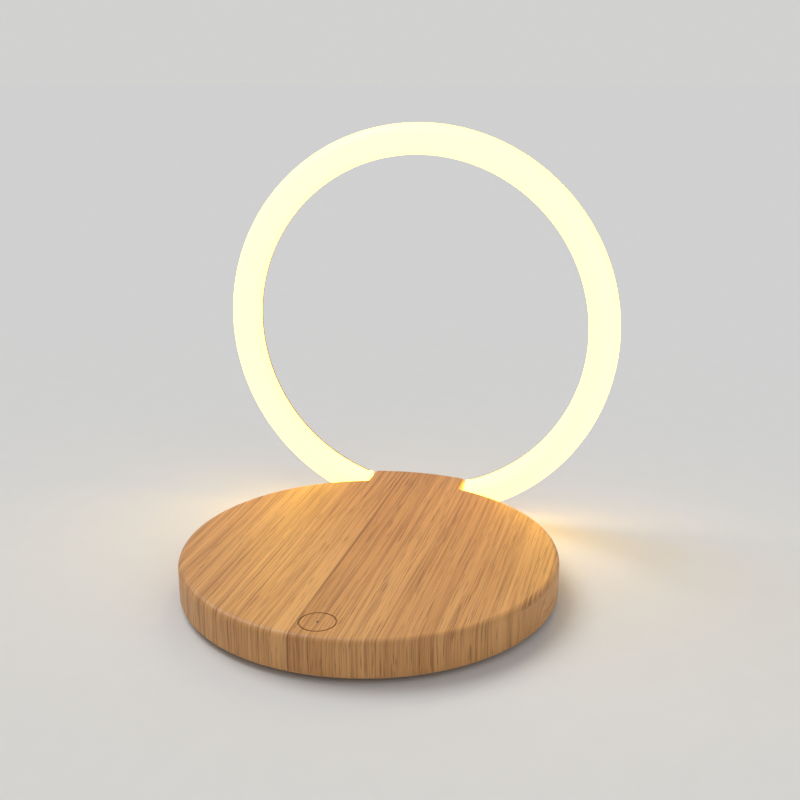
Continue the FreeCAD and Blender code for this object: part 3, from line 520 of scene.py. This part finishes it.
# %% [markdown]
# ### Boards, light pipe and lamp chips
# The boards share one effect in green and in white. The light pipe is clear plastic, seen as a
# small dark dot because the space behind it is unlit. A lamp chip is a white frame round a yellow
# phosphor lens, and a mark stored on the chip's faces says which is which.

# %% Board, light pipe and chip finishes
board_table = {
    "board_green": (paint(0.012, 0.10, 0.035), paint(0.035, 0.22, 0.07), paint(0.75, 0.62, 0.35)),
    "board_white": (paint(0.80, 0.80, 0.77), paint(0.88, 0.88, 0.86), paint(0.70, 0.66, 0.55)),
}
for slot_name, (mask, track, hole) in board_table.items():
    finishes[slot_name] = finish_from(slot_name + "_finish", board,
                                      {"Mask": mask, "Track": track, "Hole": hole})[0]

finishes["clear_plastic"] = finish_from(
    "clear_light_pipe", moulded,
    {"Color": paint(0.55, 0.60, 0.62), "Grain Size": 0.3 * MM, "Dull": 0.10, "Tone Change": 0.05},
    bump=0.000005, Transmission_Weight=0.85, IOR=1.49)[0]

chip_lens, tree, shader, placed = finish_from(
    "lamp_chip_finish", moulded,
    {"Color": paint(0.82, 0.82, 0.80), "Grain Size": 0.2 * MM, "Dull": 0.30, "Tone Change": 0.05},
    bump=0.00001)
lens_mark = add(tree, "ShaderNodeAttribute", attribute_name="lens").outputs["Fac"]
chip_colour = blend_colours(tree, lens_mark, placed.outputs["Color"], paint(0.92, 0.62, 0.08))
tree.links.new(chip_colour, shader.inputs["Base Color"])
finishes["led_yellow"] = chip_lens
print("finishes in all:", len(finishes) + 1)

# %% [markdown]
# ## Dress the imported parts
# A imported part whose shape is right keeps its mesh. Its material slot carries the record's slot
# name, so the new finish is looked up by that name.

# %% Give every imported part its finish
dressed = {}
for part_name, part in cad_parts.items():
    for place in part.material_slots:
        slot_name = place.material.name
        place.material = finishes[slot_name]
        dressed.setdefault(slot_name, []).append(part_name)
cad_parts["ring_hoop"].material_slots[0].material = hoop_wood
for slot_name in sorted(dressed):
    print(slot_name, len(dressed[slot_name]))

# %% [markdown]
# ## Pieces grown by geometry trees
# The lamp ring follows a rule, one outline carried round an arc, and the coil, screws, lamp chips
# and contacts repeat. Each has a geometry tree with named sizes. Every tree opens with its named
# inputs, and ends by making its copies real and giving them their finish.

# %% Helpers that open and close a geometry tree
WHOLE = "NodeSocketInt"
FINISH = "NodeSocketMaterial"


def open_tree(name, sizes):
    """Makes an empty geometry tree with named inputs and gives back its ends."""
    tree = bpy.data.node_groups.new(name, "GeometryNodeTree")
    tree.interface.new_socket("Geometry", in_out="INPUT", socket_type="NodeSocketGeometry")
    for label, kind in sizes:
        tree.interface.new_socket(label, in_out="INPUT", socket_type=kind)
    tree.interface.new_socket("Geometry", in_out="OUTPUT", socket_type="NodeSocketGeometry")
    return tree, tree.nodes.new("NodeGroupInput").outputs, tree.nodes.new("NodeGroupOutput").inputs


def close_tree(tree, ends, geometry, material):
    """Ends a tree with plain mesh and its material."""
    real = add(tree, "GeometryNodeRealizeInstances", {0: geometry}).outputs[0]
    made = add(tree, "GeometryNodeSetMaterial", {"Geometry": real, "Material": material})
    tree.links.new(made.outputs[0], ends["Geometry"])


print("tree helpers ready:", open_tree.__name__, close_tree.__name__)

# %% [markdown]
# A tree could stay live on its object, but the finished piece has to be a plain mesh. So the next
# helper runs the tree once on a starting mesh, keeps the result, turns its faces outwards, smooths
# all but its sharp edges, and lets the piece ride on its body.

# %% Helper that grows a piece
def grow(name, start, tree, values, body, slot_name, stands_for, smooth_angle=35):
    """Runs a geometry tree on a starting mesh and puts the finished piece on its body."""
    piece = bpy.data.objects.new(name, start)
    bpy.context.scene.collection.objects.link(piece)
    modifier = piece.modifiers.new(tree.name, "NODES")
    modifier.node_group = tree
    for socket in tree.interface.items_tree:
        if socket.in_out == "INPUT" and socket.name in values:
            modifier[socket.identifier] = values[socket.name]
    bpy.context.view_layer.update()
    ready = piece.evaluated_get(bpy.context.evaluated_depsgraph_get())
    mesh = bpy.data.meshes.new_from_object(ready)
    piece.modifiers.remove(modifier)
    piece.data = mesh
    shape = bmesh.new()
    shape.from_mesh(mesh)
    bmesh.ops.recalc_face_normals(shape, faces=shape.faces)
    shape.to_mesh(mesh)
    shape.free()
    mesh.shade_smooth()
    mesh.set_sharp_from_angle(angle=math.radians(smooth_angle))
    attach(piece, body)
    if stands_for:
        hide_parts(*stands_for)
    print(name, "faces:", len(mesh.polygons))


print("piece helper ready:", grow.__name__)

# %% [markdown]
# A swept piece starts from its outline. Points come as radius and depth, and each carries the gap
# at which its sweep has to stop. Rounded corners are worked out as short arcs.

# %% Helpers that draw an outline
def outline_mesh(name, loops):
    """A mesh of closed outlines: each is a list of (radius, depth) points and its gap."""
    mesh = bpy.data.meshes.new(name)
    points = []
    edges = []
    gaps = []
    for loop, gap in loops:
        first = len(points)
        points += [(radius, depth, 0.0) for radius, depth in loop]
        edges += [(first + step, first + (step + 1) % len(loop)) for step in range(len(loop))]
        gaps += [gap] * len(loop)
    mesh.from_pydata(points, edges, [])
    mesh.attributes.new("gap", "FLOAT", "POINT").data.foreach_set("value", gaps)
    return mesh


def corner(middle_radius, middle_depth, size, start, stop, steps):
    """Points of a rounded corner, from one direction to another in degrees."""
    turns = [math.radians(start + (stop - start) * step / steps) for step in range(steps + 1)]
    return [(middle_radius + size * math.cos(turn), middle_depth + size * math.sin(turn))
            for turn in turns]


print("outline helpers ready:", outline_mesh.__name__, corner.__name__)

# %% [markdown]
# ### The tree for the lamp ring
# The ring isn't closed: it stops at a flat face each side of the pad's tab. Carrying the outline
# along a plain arc would cut its ends square to the arc, which isn't how they meet the hinge. So
# the outline is first drawn out along a straight line, and then each point is wound round the hub
# by its own angle, chosen so that both ends land exactly on the flat faces.

# %% Build the ring tree
ring_tree, taken, ends = open_tree(
    "wound ring", [("Hub Height", NUMBER), ("Steps", WHOLE), ("Material", FINISH)])
drawn_outline = add(ring_tree, "GeometryNodeMeshToCurve", {0: taken["Geometry"]}).outputs[0]
line = add(ring_tree, "GeometryNodeCurvePrimitiveLine", {"End": (0.0, 0.0, 1.0)}).outputs[0]
line = add(ring_tree, "GeometryNodeResampleCurve", {"Curve": line, "Count": taken["Steps"]}).outputs[0]
bar = add(ring_tree, "GeometryNodeCurveToMesh", {"Curve": line, "Profile Curve": drawn_outline,
                                                 "Fill Caps": True}).outputs[0]
at = parts_of(ring_tree, add(ring_tree, "GeometryNodeInputPosition").outputs[0])
gap = add(ring_tree, "GeometryNodeInputNamedAttribute", {"Name": "gap"},
          data_type="FLOAT").outputs[0]
gap_angle = reckon(ring_tree, "ARCSINE", reckon(ring_tree, "DIVIDE", gap, at[0]))
sweep = reckon(ring_tree, "SUBTRACT", 2 * math.pi, reckon(ring_tree, "MULTIPLY", gap_angle, 2.0))
angle = reckon(ring_tree, "MULTIPLY_ADD", at[2], sweep, gap_angle)
wound_x = reckon(ring_tree, "MULTIPLY", at[0], reckon(ring_tree, "SINE", angle))
wound_z = reckon(ring_tree, "SUBTRACT", taken["Hub Height"],
                 reckon(ring_tree, "MULTIPLY", at[0], reckon(ring_tree, "COSINE", angle)))
wound = point(ring_tree, wound_x, at[1], wound_z)
placed_ring = add(ring_tree, "GeometryNodeSetPosition", {"Geometry": bar, "Position": wound})
close_tree(ring_tree, ends, placed_ring.outputs[0], taken["Material"])
print("ring tree nodes:", len(ring_tree.nodes))

# %% [markdown]
# ### The opal shell
# The shell is a channel: its front corners are so round that the front is nearly a half circle,
# and its open back takes the wooden hoop. The outline goes round the outside, then back through
# the hollow.

# %% Make the opal shell
RING_STEPS = 220
FRONT_ROUND = 5.3 * MM
SHELL_WALL = 1.4 * MM
CAP_FACE = 20.0 * MM
front = shell_low.y
back = shell_high.y
round_depth = front + FRONT_ROUND
inner_mid = ring_inner + FRONT_ROUND
outer_mid = ring_outer - FRONT_ROUND
hollow_round = FRONT_ROUND - SHELL_WALL
shell_outline = (
    [(ring_outer, back)]
    + corner(outer_mid, round_depth, FRONT_ROUND, 0, -90, 14)
    + corner(inner_mid, round_depth, FRONT_ROUND, -90, -180, 14)
    + [(ring_inner, back), (ring_inner + SHELL_WALL, back)]
    + corner(inner_mid, round_depth, hollow_round, -180, -90, 8)
    + corner(outer_mid, round_depth, hollow_round, -90, 0, 8)
    + [(ring_outer - SHELL_WALL, back)])
grow(
    "lamp_shell", outline_mesh("shell outline", [(shell_outline, CAP_FACE)]), ring_tree,
    {"Hub Height": ring_centre_z, "Steps": RING_STEPS, "Material": opal},
    "ring_lamp", "opal_diffuser", ["ring_diffuser"])

# %% [markdown]
# ### The wooden hoop
# The hoop closes the shell's back with a plate of bamboo. Its back corners are eased, and a rib on
# its front carries the lamp strip. The rib stops short of the plate, to leave room for the end
# caps, so it is a second outline with a wider gap.

# %% Make the wooden hoop
BACK_ROUND = 0.8 * MM
RIB_INSET = 1.6 * MM
RIB_END = 28.8 * MM
rib_front = hoop_low.y
plate_back = hoop_high.y
plate_outline = (
    [(ring_inner, back)]
    + corner(ring_inner + BACK_ROUND, plate_back - BACK_ROUND, BACK_ROUND, 180, 90, 6)
    + corner(ring_outer - BACK_ROUND, plate_back - BACK_ROUND, BACK_ROUND, 90, 0, 6)
    + [(ring_outer, back)])
rib_inner = ring_inner + RIB_INSET
rib_outer = ring_outer - RIB_INSET
rib_outline = [(rib_inner, rib_front), (rib_inner, back), (rib_outer, back), (rib_outer, rib_front)]
grow(
    "lamp_hoop",
    outline_mesh("hoop outlines", [(plate_outline, CAP_FACE), (rib_outline, RIB_END)]),
    ring_tree, {"Hub Height": ring_centre_z, "Steps": RING_STEPS, "Material": hoop_wood},
    "ring_lamp", "bamboo_wood", ["ring_hoop"])

# %% [markdown]
# ### The charging coil
# The coil is one flat layer of stranded, enamelled copper wire, wound outwards from the middle. The
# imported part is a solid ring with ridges, so here it becomes what it is: a spiral path with a round
# wire along it. The spiral is turned so that its two ends lie at the two lead wires.

# %% Measure the coil
COIL_TURNS = 10
COIL_INNER = 10.2 * MM
WIRE_SPACE = 0.02 * MM
INNER_LEAD_TURN = math.radians(79.5)
OUTER_LEAD_TURN = math.radians(95.5)
coil_low, coil_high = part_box("charging_coil")
turn_pitch = (coil_high.x - COIL_INNER) / COIL_TURNS
coil_turns = COIL_TURNS - 1 + (OUTER_LEAD_TURN - INNER_LEAD_TURN) / (2 * math.pi)
coil_values = {
    "Turns": coil_turns, "Start Angle": INNER_LEAD_TURN, "Inner Radius": COIL_INNER + turn_pitch / 2,
    "Outer Radius": coil_high.x - turn_pitch / 2, "Wire Radius": turn_pitch / 2 - WIRE_SPACE,
    "Height": (coil_low.z + coil_high.z) / 2, "Material": finishes["litz_copper"]}
print("coil turns and pitch in mm:", round(coil_turns, 3), round(turn_pitch / MM, 2))

# %% [markdown]
# Sweeping a circle along the spiral curve makes the wire. The tree then lifts the winding to its
# height and turns it to its leads.

# %% Build the coil tree and make the winding
coil_tree, taken, ends = open_tree("wound coil", [
    ("Turns", NUMBER), ("Inner Radius", NUMBER), ("Outer Radius", NUMBER),
    ("Wire Radius", NUMBER), ("Height", NUMBER), ("Start Angle", NUMBER), ("Material", FINISH)])
spiral = add(coil_tree, "GeometryNodeCurveSpiral", {
    "Resolution": 72, "Rotations": taken["Turns"], "Start Radius": taken["Inner Radius"],
    "End Radius": taken["Outer Radius"], "Height": 0.0, "Reverse": True}).outputs[0]
wire_round = add(coil_tree, "GeometryNodeCurvePrimitiveCircle", {
    "Resolution": 10, "Radius": taken["Wire Radius"]}).outputs[0]
winding = add(coil_tree, "GeometryNodeCurveToMesh", {"Curve": spiral, "Profile Curve": wire_round,
                                                     "Fill Caps": True}).outputs[0]
winding = add(coil_tree, "GeometryNodeTransform", {
    "Geometry": winding, "Translation": point(coil_tree, z=taken["Height"]),
    "Rotation": point(coil_tree, z=taken["Start Angle"])})
close_tree(coil_tree, ends, winding.outputs[0], taken["Material"])
grow("charging_winding", bpy.data.meshes.new("empty coil"), coil_tree, coil_values,
     "base", "litz_copper", ["charging_coil"], 60)

# %% [markdown]
# ### Cover screws
# Four countersunk screws hold the cover. One screw is turned as on a lathe, from a line of radii
# and heights, with sharp threads.

# %% Helper that turns a part from a line of radii and heights
def turned_mesh(name, line, sides=28):
    """A closed round mesh: the line starts and ends on the axis."""
    mesh = bpy.data.meshes.new(name)
    points = [(0.0, 0.0, line[0][1])]
    faces = []
    for radius, height in line[1:-1]:
        for side in range(sides):
            turn = 2 * math.pi * side / sides
            points.append((radius * math.cos(turn), radius * math.sin(turn), height))
    points.append((0.0, 0.0, line[-1][1]))
    rows = len(line) - 2
    for side in range(sides):
        after = (side + 1) % sides
        faces.append((0, 1 + after, 1 + side))
        for row in range(rows - 1):
            start = 1 + row * sides
            faces.append((start + side, start + after, start + sides + after, start + sides + side))
        last = 1 + (rows - 1) * sides
        faces.append((last + side, last + after, len(points) - 1))
    mesh.from_pydata(points, [], faces)
    return mesh


print("lathe helper ready:", turned_mesh.__name__)

# %% [markdown]
# The line of a screw is a flat head, its cone, a shank, and threads at an even pitch down to a
# blunt point. Only the head shows, but the whole screw is there when the cover comes off.

# %% Draw the line of one screw
HEAD_RADIUS = 2.4 * MM
SHANK_RADIUS = 1.3 * MM
HEAD_DEEP = 1.1 * MM
ROOT_RADIUS = 0.98 * MM
THREAD_PITCH = 0.8 * MM
PLAIN_SHANK = 0.5 * MM
POINT_LONG = 1.2 * MM
SLOT_LONG = 2.6 * MM
SLOT_WIDE = 0.6 * MM
SLOT_DEEP = 1.3 * MM
screw_low, screw_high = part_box("cover_screws")
screw_long = screw_high.z - screw_low.z
screw_line = [(0.0, 0.0), (HEAD_RADIUS - 0.12 * MM, 0.0), (HEAD_RADIUS, 0.08 * MM),
              (HEAD_RADIUS, 0.16 * MM), (SHANK_RADIUS, HEAD_DEEP)]
thread_at = HEAD_DEEP + PLAIN_SHANK
while thread_at < screw_long - POINT_LONG:
    screw_line += [(ROOT_RADIUS, thread_at), (SHANK_RADIUS, thread_at + 0.3 * MM),
                   (SHANK_RADIUS, thread_at + 0.38 * MM)]
    thread_at += THREAD_PITCH
screw_line += [(0.95 * MM, screw_long - 0.7 * MM), (0.3 * MM, screw_long), (0.0, screw_long)]
print("points on a screw's line:", len(screw_line))

# %% [markdown]
# The tree cuts the cross slot with two bars, then sets a copy of the screw at each corner of a
# square, each turned by its own amount, as a screwdriver leaves them.

# %% Build the screw tree and make the four screws
screw_tree, taken, ends = open_tree("cover screws", [
    ("Circle Radius", NUMBER), ("Seat Height", NUMBER), ("Slot Long", NUMBER),
    ("Slot Wide", NUMBER), ("Slot Deep", NUMBER), ("Material", FINISH)])
slot_size = point(screw_tree, taken["Slot Long"], taken["Slot Wide"], taken["Slot Deep"])
slot_bar = add(screw_tree, "GeometryNodeMeshCube", {"Size": slot_size}).outputs[0]
cross_bar = add(screw_tree, "GeometryNodeTransform", {
    "Geometry": slot_bar, "Rotation": (0.0, 0.0, math.pi / 2)}).outputs[0]
cut = add(screw_tree, "GeometryNodeMeshBoolean", {0: taken["Geometry"], 1: slot_bar},
          operation="DIFFERENCE").outputs[0]
cut = add(screw_tree, "GeometryNodeMeshBoolean", {0: cut, 1: cross_bar},
          operation="DIFFERENCE").outputs[0]
seats = add(screw_tree, "GeometryNodeMeshCircle", {"Vertices": 4,
                                                   "Radius": taken["Circle Radius"]}).outputs[0]
seats = add(screw_tree, "GeometryNodeTransform", {
    "Geometry": seats, "Translation": point(screw_tree, z=taken["Seat Height"]),
    "Rotation": (0.0, 0.0, math.radians(45))}).outputs[0]
chance = add(screw_tree, "FunctionNodeRandomValue", {"Max": math.pi / 2, "Seed": 5},
             data_type="FLOAT").outputs[1]
set_screws = add(screw_tree, "GeometryNodeInstanceOnPoints", {
    "Points": seats, "Instance": cut, "Rotation": point(screw_tree, z=chance)}).outputs[0]
close_tree(screw_tree, ends, set_screws, taken["Material"])
screw_circle = math.hypot(screw_high.x - HEAD_RADIUS, screw_high.y - HEAD_RADIUS)
grow(
    "cover_fixings", turned_mesh("screw blank", screw_line), screw_tree,
    {"Circle Radius": screw_circle, "Seat Height": screw_low.z, "Slot Long": SLOT_LONG,
     "Slot Wide": SLOT_WIDE, "Slot Deep": SLOT_DEEP, "Material": finishes["zinc_steel"]},
    "base", "zinc_steel", ["cover_screws"], 30)
print("screw circle radius in mm:", round(screw_circle / MM, 2))

# %% [markdown]
# ### Lamp chips
# Sixty chips sit on the strip, each a white frame with a sunken yellow lens. One chip is modelled
# from a block, and its lens face is marked so that the finish can tell it from the frame.

# %% Model one lamp chip
CHIP_WIDE = 3.5 * MM
CHIP_TALL = 2.8 * MM
CHIP_DEEP = 0.7 * MM
CHIP_CORNER = 0.25 * MM
FRAME_WIDE = 0.35 * MM
LENS_SLOPE = 0.12 * MM
LENS_SUNK = 0.2 * MM


def chip_mesh():
    """One lamp chip: a small frame whose front is sunk to a marked lens."""
    mesh = bpy.data.meshes.new("one chip")
    shape = bmesh.new()
    mark = shape.faces.layers.float.new("lens")
    bmesh.ops.create_cube(shape, size=1.0)
    bmesh.ops.scale(shape, vec=(CHIP_WIDE, CHIP_DEEP, CHIP_TALL), verts=shape.verts)
    upright = [edge for edge in shape.edges
               if abs(edge.verts[0].co.y - edge.verts[1].co.y) > CHIP_DEEP / 2]
    bmesh.ops.bevel(shape, geom=upright, offset=CHIP_CORNER, segments=1, affect="EDGES")
    shape.normal_update()
    face = min(shape.faces, key=lambda each: each.calc_center_median().y)
    bmesh.ops.inset_region(shape, faces=[face], thickness=FRAME_WIDE, depth=0.0)
    bmesh.ops.inset_region(shape, faces=[face], thickness=LENS_SLOPE, depth=-LENS_SUNK)
    face[mark] = 1.0
    shape.to_mesh(mesh)
    shape.free()
    return mesh


one_chip = chip_mesh()
print("faces on one chip:", len(one_chip.polygons))

# %% [markdown]
# The tree numbers sixty points along the arc, from just past one end of the rib to just before the
# other, and turns each copy of the chip so that it stands square to the arc.

# %% Build the chip tree and make the chips
CHIP_COUNT = 60
FIRST_TURN = math.asin(RIB_END / ring_middle) + math.radians(3.2)
chips_low, chips_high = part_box("led_chips")
chip_tree, taken, ends = open_tree("lamp chips", [
    ("Count", WHOLE), ("First Angle", NUMBER), ("Arc Radius", NUMBER), ("Hub Height", NUMBER),
    ("Depth", NUMBER), ("Material", FINISH)])
number = add(chip_tree, "GeometryNodeInputIndex").outputs[0]
chip_sweep = reckon(chip_tree, "SUBTRACT", 2 * math.pi,
                    reckon(chip_tree, "MULTIPLY", taken["First Angle"], 2.0))
chip_step = reckon(chip_tree, "DIVIDE", chip_sweep, reckon(chip_tree, "SUBTRACT", taken["Count"], 1.0))
chip_turn = reckon(chip_tree, "ADD", taken["First Angle"],
                   reckon(chip_tree, "MULTIPLY", number, chip_step))
chip_x = reckon(chip_tree, "MULTIPLY", reckon(chip_tree, "SINE", chip_turn),
                reckon(chip_tree, "MULTIPLY", taken["Arc Radius"], -1.0))
chip_z = reckon(chip_tree, "SUBTRACT", taken["Hub Height"], reckon(
    chip_tree, "MULTIPLY", reckon(chip_tree, "COSINE", chip_turn), taken["Arc Radius"]))
chip_points = add(chip_tree, "GeometryNodePoints", {
    "Count": taken["Count"], "Position": point(chip_tree, chip_x, taken["Depth"], chip_z)}).outputs[0]
chip_row = add(chip_tree, "GeometryNodeInstanceOnPoints", {
    "Points": chip_points, "Instance": taken["Geometry"],
    "Rotation": point(chip_tree, y=chip_turn)}).outputs[0]
close_tree(chip_tree, ends, chip_row, taken["Material"])
grow(
    "lamp_chips", one_chip, chip_tree,
    {"Count": CHIP_COUNT, "First Angle": FIRST_TURN, "Arc Radius": ring_middle,
     "Hub Height": ring_centre_z, "Depth": (chips_low.y + chips_high.y) / 2,
     "Material": chip_lens},
    "ring_lamp", "led_yellow", ["led_chips"], 30)

# %% [markdown]
# ### Contacts in the charging inlet
# The tongue of the inlet has twelve gilded contacts on each face. They are too small to be parts of
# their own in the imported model, but they are what makes the inlet read as real. One contact is a
# small plate with eased edges, plated with gold.

# %% Model one contact
CONTACT_WIDE = 0.26 * MM
CONTACT_LONG = 3.4 * MM
CONTACT_THICK = 0.06 * MM
CONTACT_EASED = 0.015 * MM


def plate_mesh(wide, long, thick, eased):
    """A small plate with eased edges."""
    mesh = bpy.data.meshes.new("plate")
    shape = bmesh.new()
    bmesh.ops.create_cube(shape, size=1.0)
    bmesh.ops.scale(shape, vec=(wide, long, thick), verts=shape.verts)
    bmesh.ops.bevel(shape, geom=list(shape.edges), offset=eased, segments=1, affect="EDGES")
    shape.to_mesh(mesh)
    shape.free()
    return mesh


one_contact = plate_mesh(CONTACT_WIDE, CONTACT_LONG, CONTACT_THICK, CONTACT_EASED)
contact_gold = finish_from(
    "gilded_contact", drawn,
    {"Color": paint(0.90, 0.62, 0.22), "Stain": paint(0.78, 0.50, 0.16),
     "Stretch": (5000, 800, 5000), "Dull": 0.18},
    bump=0.000005, Metallic=1.0)[0]
print("faces on one contact:", len(one_contact.polygons))

# %% [markdown]
# The tree numbers twice twelve points. The remainder after dividing by twelve is the place in the
# row, and the whole part says whether the row lies above or below the tongue.

# %% Build the contact tree and make the contacts
CONTACT_COUNT = 12
CONTACT_PITCH = 0.5 * MM
TONGUE_HALF = 0.35 * MM
CONTACT_PROUD = 0.02 * MM
CONTACT_SET_BACK = 2.1 * MM
tongue_low, tongue_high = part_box("usb_c_tongue")
tongue_level = (tongue_low.z + tongue_high.z) / 2
contact_tree, taken, ends = open_tree("contact rows", [
    ("Count", WHOLE), ("Pitch", NUMBER), ("Level", NUMBER), ("Half Gap", NUMBER),
    ("Depth", NUMBER), ("Material", FINISH)])
number = add(contact_tree, "GeometryNodeInputIndex").outputs[0]
in_row = reckon(contact_tree, "MODULO", number, taken["Count"])
row = reckon(contact_tree, "FLOOR", reckon(contact_tree, "DIVIDE", number, taken["Count"]))
half_row = reckon(contact_tree, "DIVIDE", reckon(contact_tree, "SUBTRACT", taken["Count"], 1.0), 2.0)
contact_x = reckon(contact_tree, "MULTIPLY", reckon(contact_tree, "SUBTRACT", in_row, half_row),
                   taken["Pitch"])
side = reckon(contact_tree, "MULTIPLY_ADD", row, 2.0, -1.0)
contact_z = reckon(contact_tree, "ADD", taken["Level"],
                   reckon(contact_tree, "MULTIPLY", side, taken["Half Gap"]))
both_rows = reckon(contact_tree, "MULTIPLY", taken["Count"], 2.0)
contact_points = add(contact_tree, "GeometryNodePoints", {
    "Count": both_rows, "Position": point(contact_tree, contact_x, taken["Depth"], contact_z)}).outputs[0]
contact_rows = add(contact_tree, "GeometryNodeInstanceOnPoints", {
    "Points": contact_points, "Instance": taken["Geometry"]}).outputs[0]
close_tree(contact_tree, ends, contact_rows, taken["Material"])
grow(
    "inlet_contacts", one_contact, contact_tree,
    {"Count": CONTACT_COUNT, "Pitch": CONTACT_PITCH, "Level": tongue_level,
     "Half Gap": TONGUE_HALF + CONTACT_PROUD, "Depth": tongue_high.y - CONTACT_SET_BACK,
     "Material": contact_gold},
    "base", None, [], 30)

# %% [markdown]
# ## The camera
# It looks down on the pad from the front and a little from the right, from about a third of a
# metre away, through a lens that is a touch longer than normal.

# %% Camera
CAMERA_PLACE = (0.0929, -0.3130, 0.1629)
CAMERA_DOWN = 16.77
CAMERA_ROUND = 14.76
FOCAL_LENGTH = 48.25
camera = bpy.data.objects.new("camera", bpy.data.cameras.new("camera"))
bpy.context.scene.collection.objects.link(camera)
camera.location = CAMERA_PLACE
camera.rotation_euler = (math.radians(90 - CAMERA_DOWN), 0.0, math.radians(CAMERA_ROUND))
camera.data.sensor_width = 36.0
camera.data.lens = FOCAL_LENGTH
camera.data.clip_start = 0.01
camera.data.clip_end = 30.0
bpy.context.scene.camera = camera
print("camera set, focal length in mm:", FOCAL_LENGTH)

# %% [markdown]
# ## The floor
# A shot of a lamp has to show its glow, so the floor is pale but not white. It runs on to the
# horizon, and has no gloss, so that its tone is the same from everywhere. From below it is clear,
# so that the underside can be looked at.

# %% Floor
FLOOR_REACH = 25.0
FLOOR_TONE = 0.78
floor_mesh = bpy.data.meshes.new("floor")
floor_corners = [(-FLOOR_REACH, -FLOOR_REACH, 0.0), (FLOOR_REACH, -FLOOR_REACH, 0.0),
                 (FLOOR_REACH, FLOOR_REACH, 0.0), (-FLOOR_REACH, FLOOR_REACH, 0.0)]
floor_mesh.from_pydata(floor_corners, [], [(0, 1, 2, 3)])
floor = bpy.data.objects.new("floor", floor_mesh)
bpy.context.scene.collection.objects.link(floor)
floor_finish, tree, shader, placed = finish_from(
    "pale_floor", moulded,
    {"Color": paint(FLOOR_TONE, FLOOR_TONE, FLOOR_TONE * 0.99), "Grain Size": 2.0 * MM,
     "Dull": 0.62, "Tone Change": 0.02}, bump=0.00001, Specular_IOR_Level=0.0)
seen_from_below = add(tree, "ShaderNodeNewGeometry").outputs["Backfacing"]
clear = add(tree, "ShaderNodeBsdfTransparent").outputs[0]
one_sided = add(tree, "ShaderNodeMixShader", {0: seen_from_below, 1: shader.outputs[0], 2: clear})
tree.links.new(one_sided.outputs[0], tree.nodes["Material Output"].inputs["Surface"])
floor_mesh.materials.append(floor_finish)
print("floor reach in m:", FLOOR_REACH)

# %% [markdown]
# ## The lights
# Soft boxes near the pad would leave pools of light on such a large floor. Two far lights that are
# as wide in the sky as soft boxes light all of it evenly: a key from behind the left shoulder of
# the ring, and a weak fill from the front right.

# %% Lights
def soft_sun(name, seen_from, power, spread, colour):
    """A far light as wide as a soft box, and the part of it that reaches a level floor."""
    lamp = bpy.data.lights.new(name, "SUN")
    lamp.energy = power
    lamp.angle = math.radians(spread)
    lamp.color = colour
    holder = bpy.data.objects.new(name, lamp)
    bpy.context.scene.collection.objects.link(holder)
    towards = Vector(seen_from).normalized()
    holder.rotation_euler = towards.to_track_quat("Z", "Y").to_euler()
    return power * towards.z / math.pi


KEY_POWER = 1.42
FILL_POWER = 0.26
key_on_floor = soft_sun("soft key", (-0.62, 0.30, 1.0), KEY_POWER, 38, (1.0, 0.985, 0.96))
fill_on_floor = soft_sun("soft fill", (1.3, -0.9, 0.9), FILL_POWER, 60, (0.97, 0.98, 1.0))
print("light that reaches the floor:", round(key_on_floor, 3), round(fill_on_floor, 3))

# %% [markdown]
# ## The studio around it
# The air of the studio gives a soft light from all sides. What the camera sees of it is a backdrop
# in the tone that the far floor has, so that floor and backdrop melt together at the horizon. No
# film curve is laid over the colours, so the lit ring stays cream and the wood keeps its warmth.

# %% Studio light and backdrop
STUDIO_LIGHT = 0.41
world = bpy.data.worlds.new("studio")
world.use_nodes = True
tree = world.node_tree
lighting = tree.nodes["Background"]
lighting.inputs["Color"].default_value = (0.95, 0.97, 1.0, 1.0)
lighting.inputs["Strength"].default_value = STUDIO_LIGHT
far_floor = FLOOR_TONE * (STUDIO_LIGHT + key_on_floor + fill_on_floor)
backdrop = add(tree, "ShaderNodeBackground", {"Strength": far_floor,
                                              "Color": (1.0, 0.995, 0.985, 1.0)})
seen_direct = add(tree, "ShaderNodeLightPath").outputs["Is Camera Ray"]
sky = add(tree, "ShaderNodeMixShader", {0: seen_direct, 1: lighting.outputs[0],
                                        2: backdrop.outputs[0]})
tree.links.new(sky.outputs[0], tree.nodes["World Output"].inputs["Surface"])
bpy.context.scene.world = world
bpy.context.scene.view_settings.view_transform = "Standard"
print("tone of the backdrop:", round(far_floor, 3))
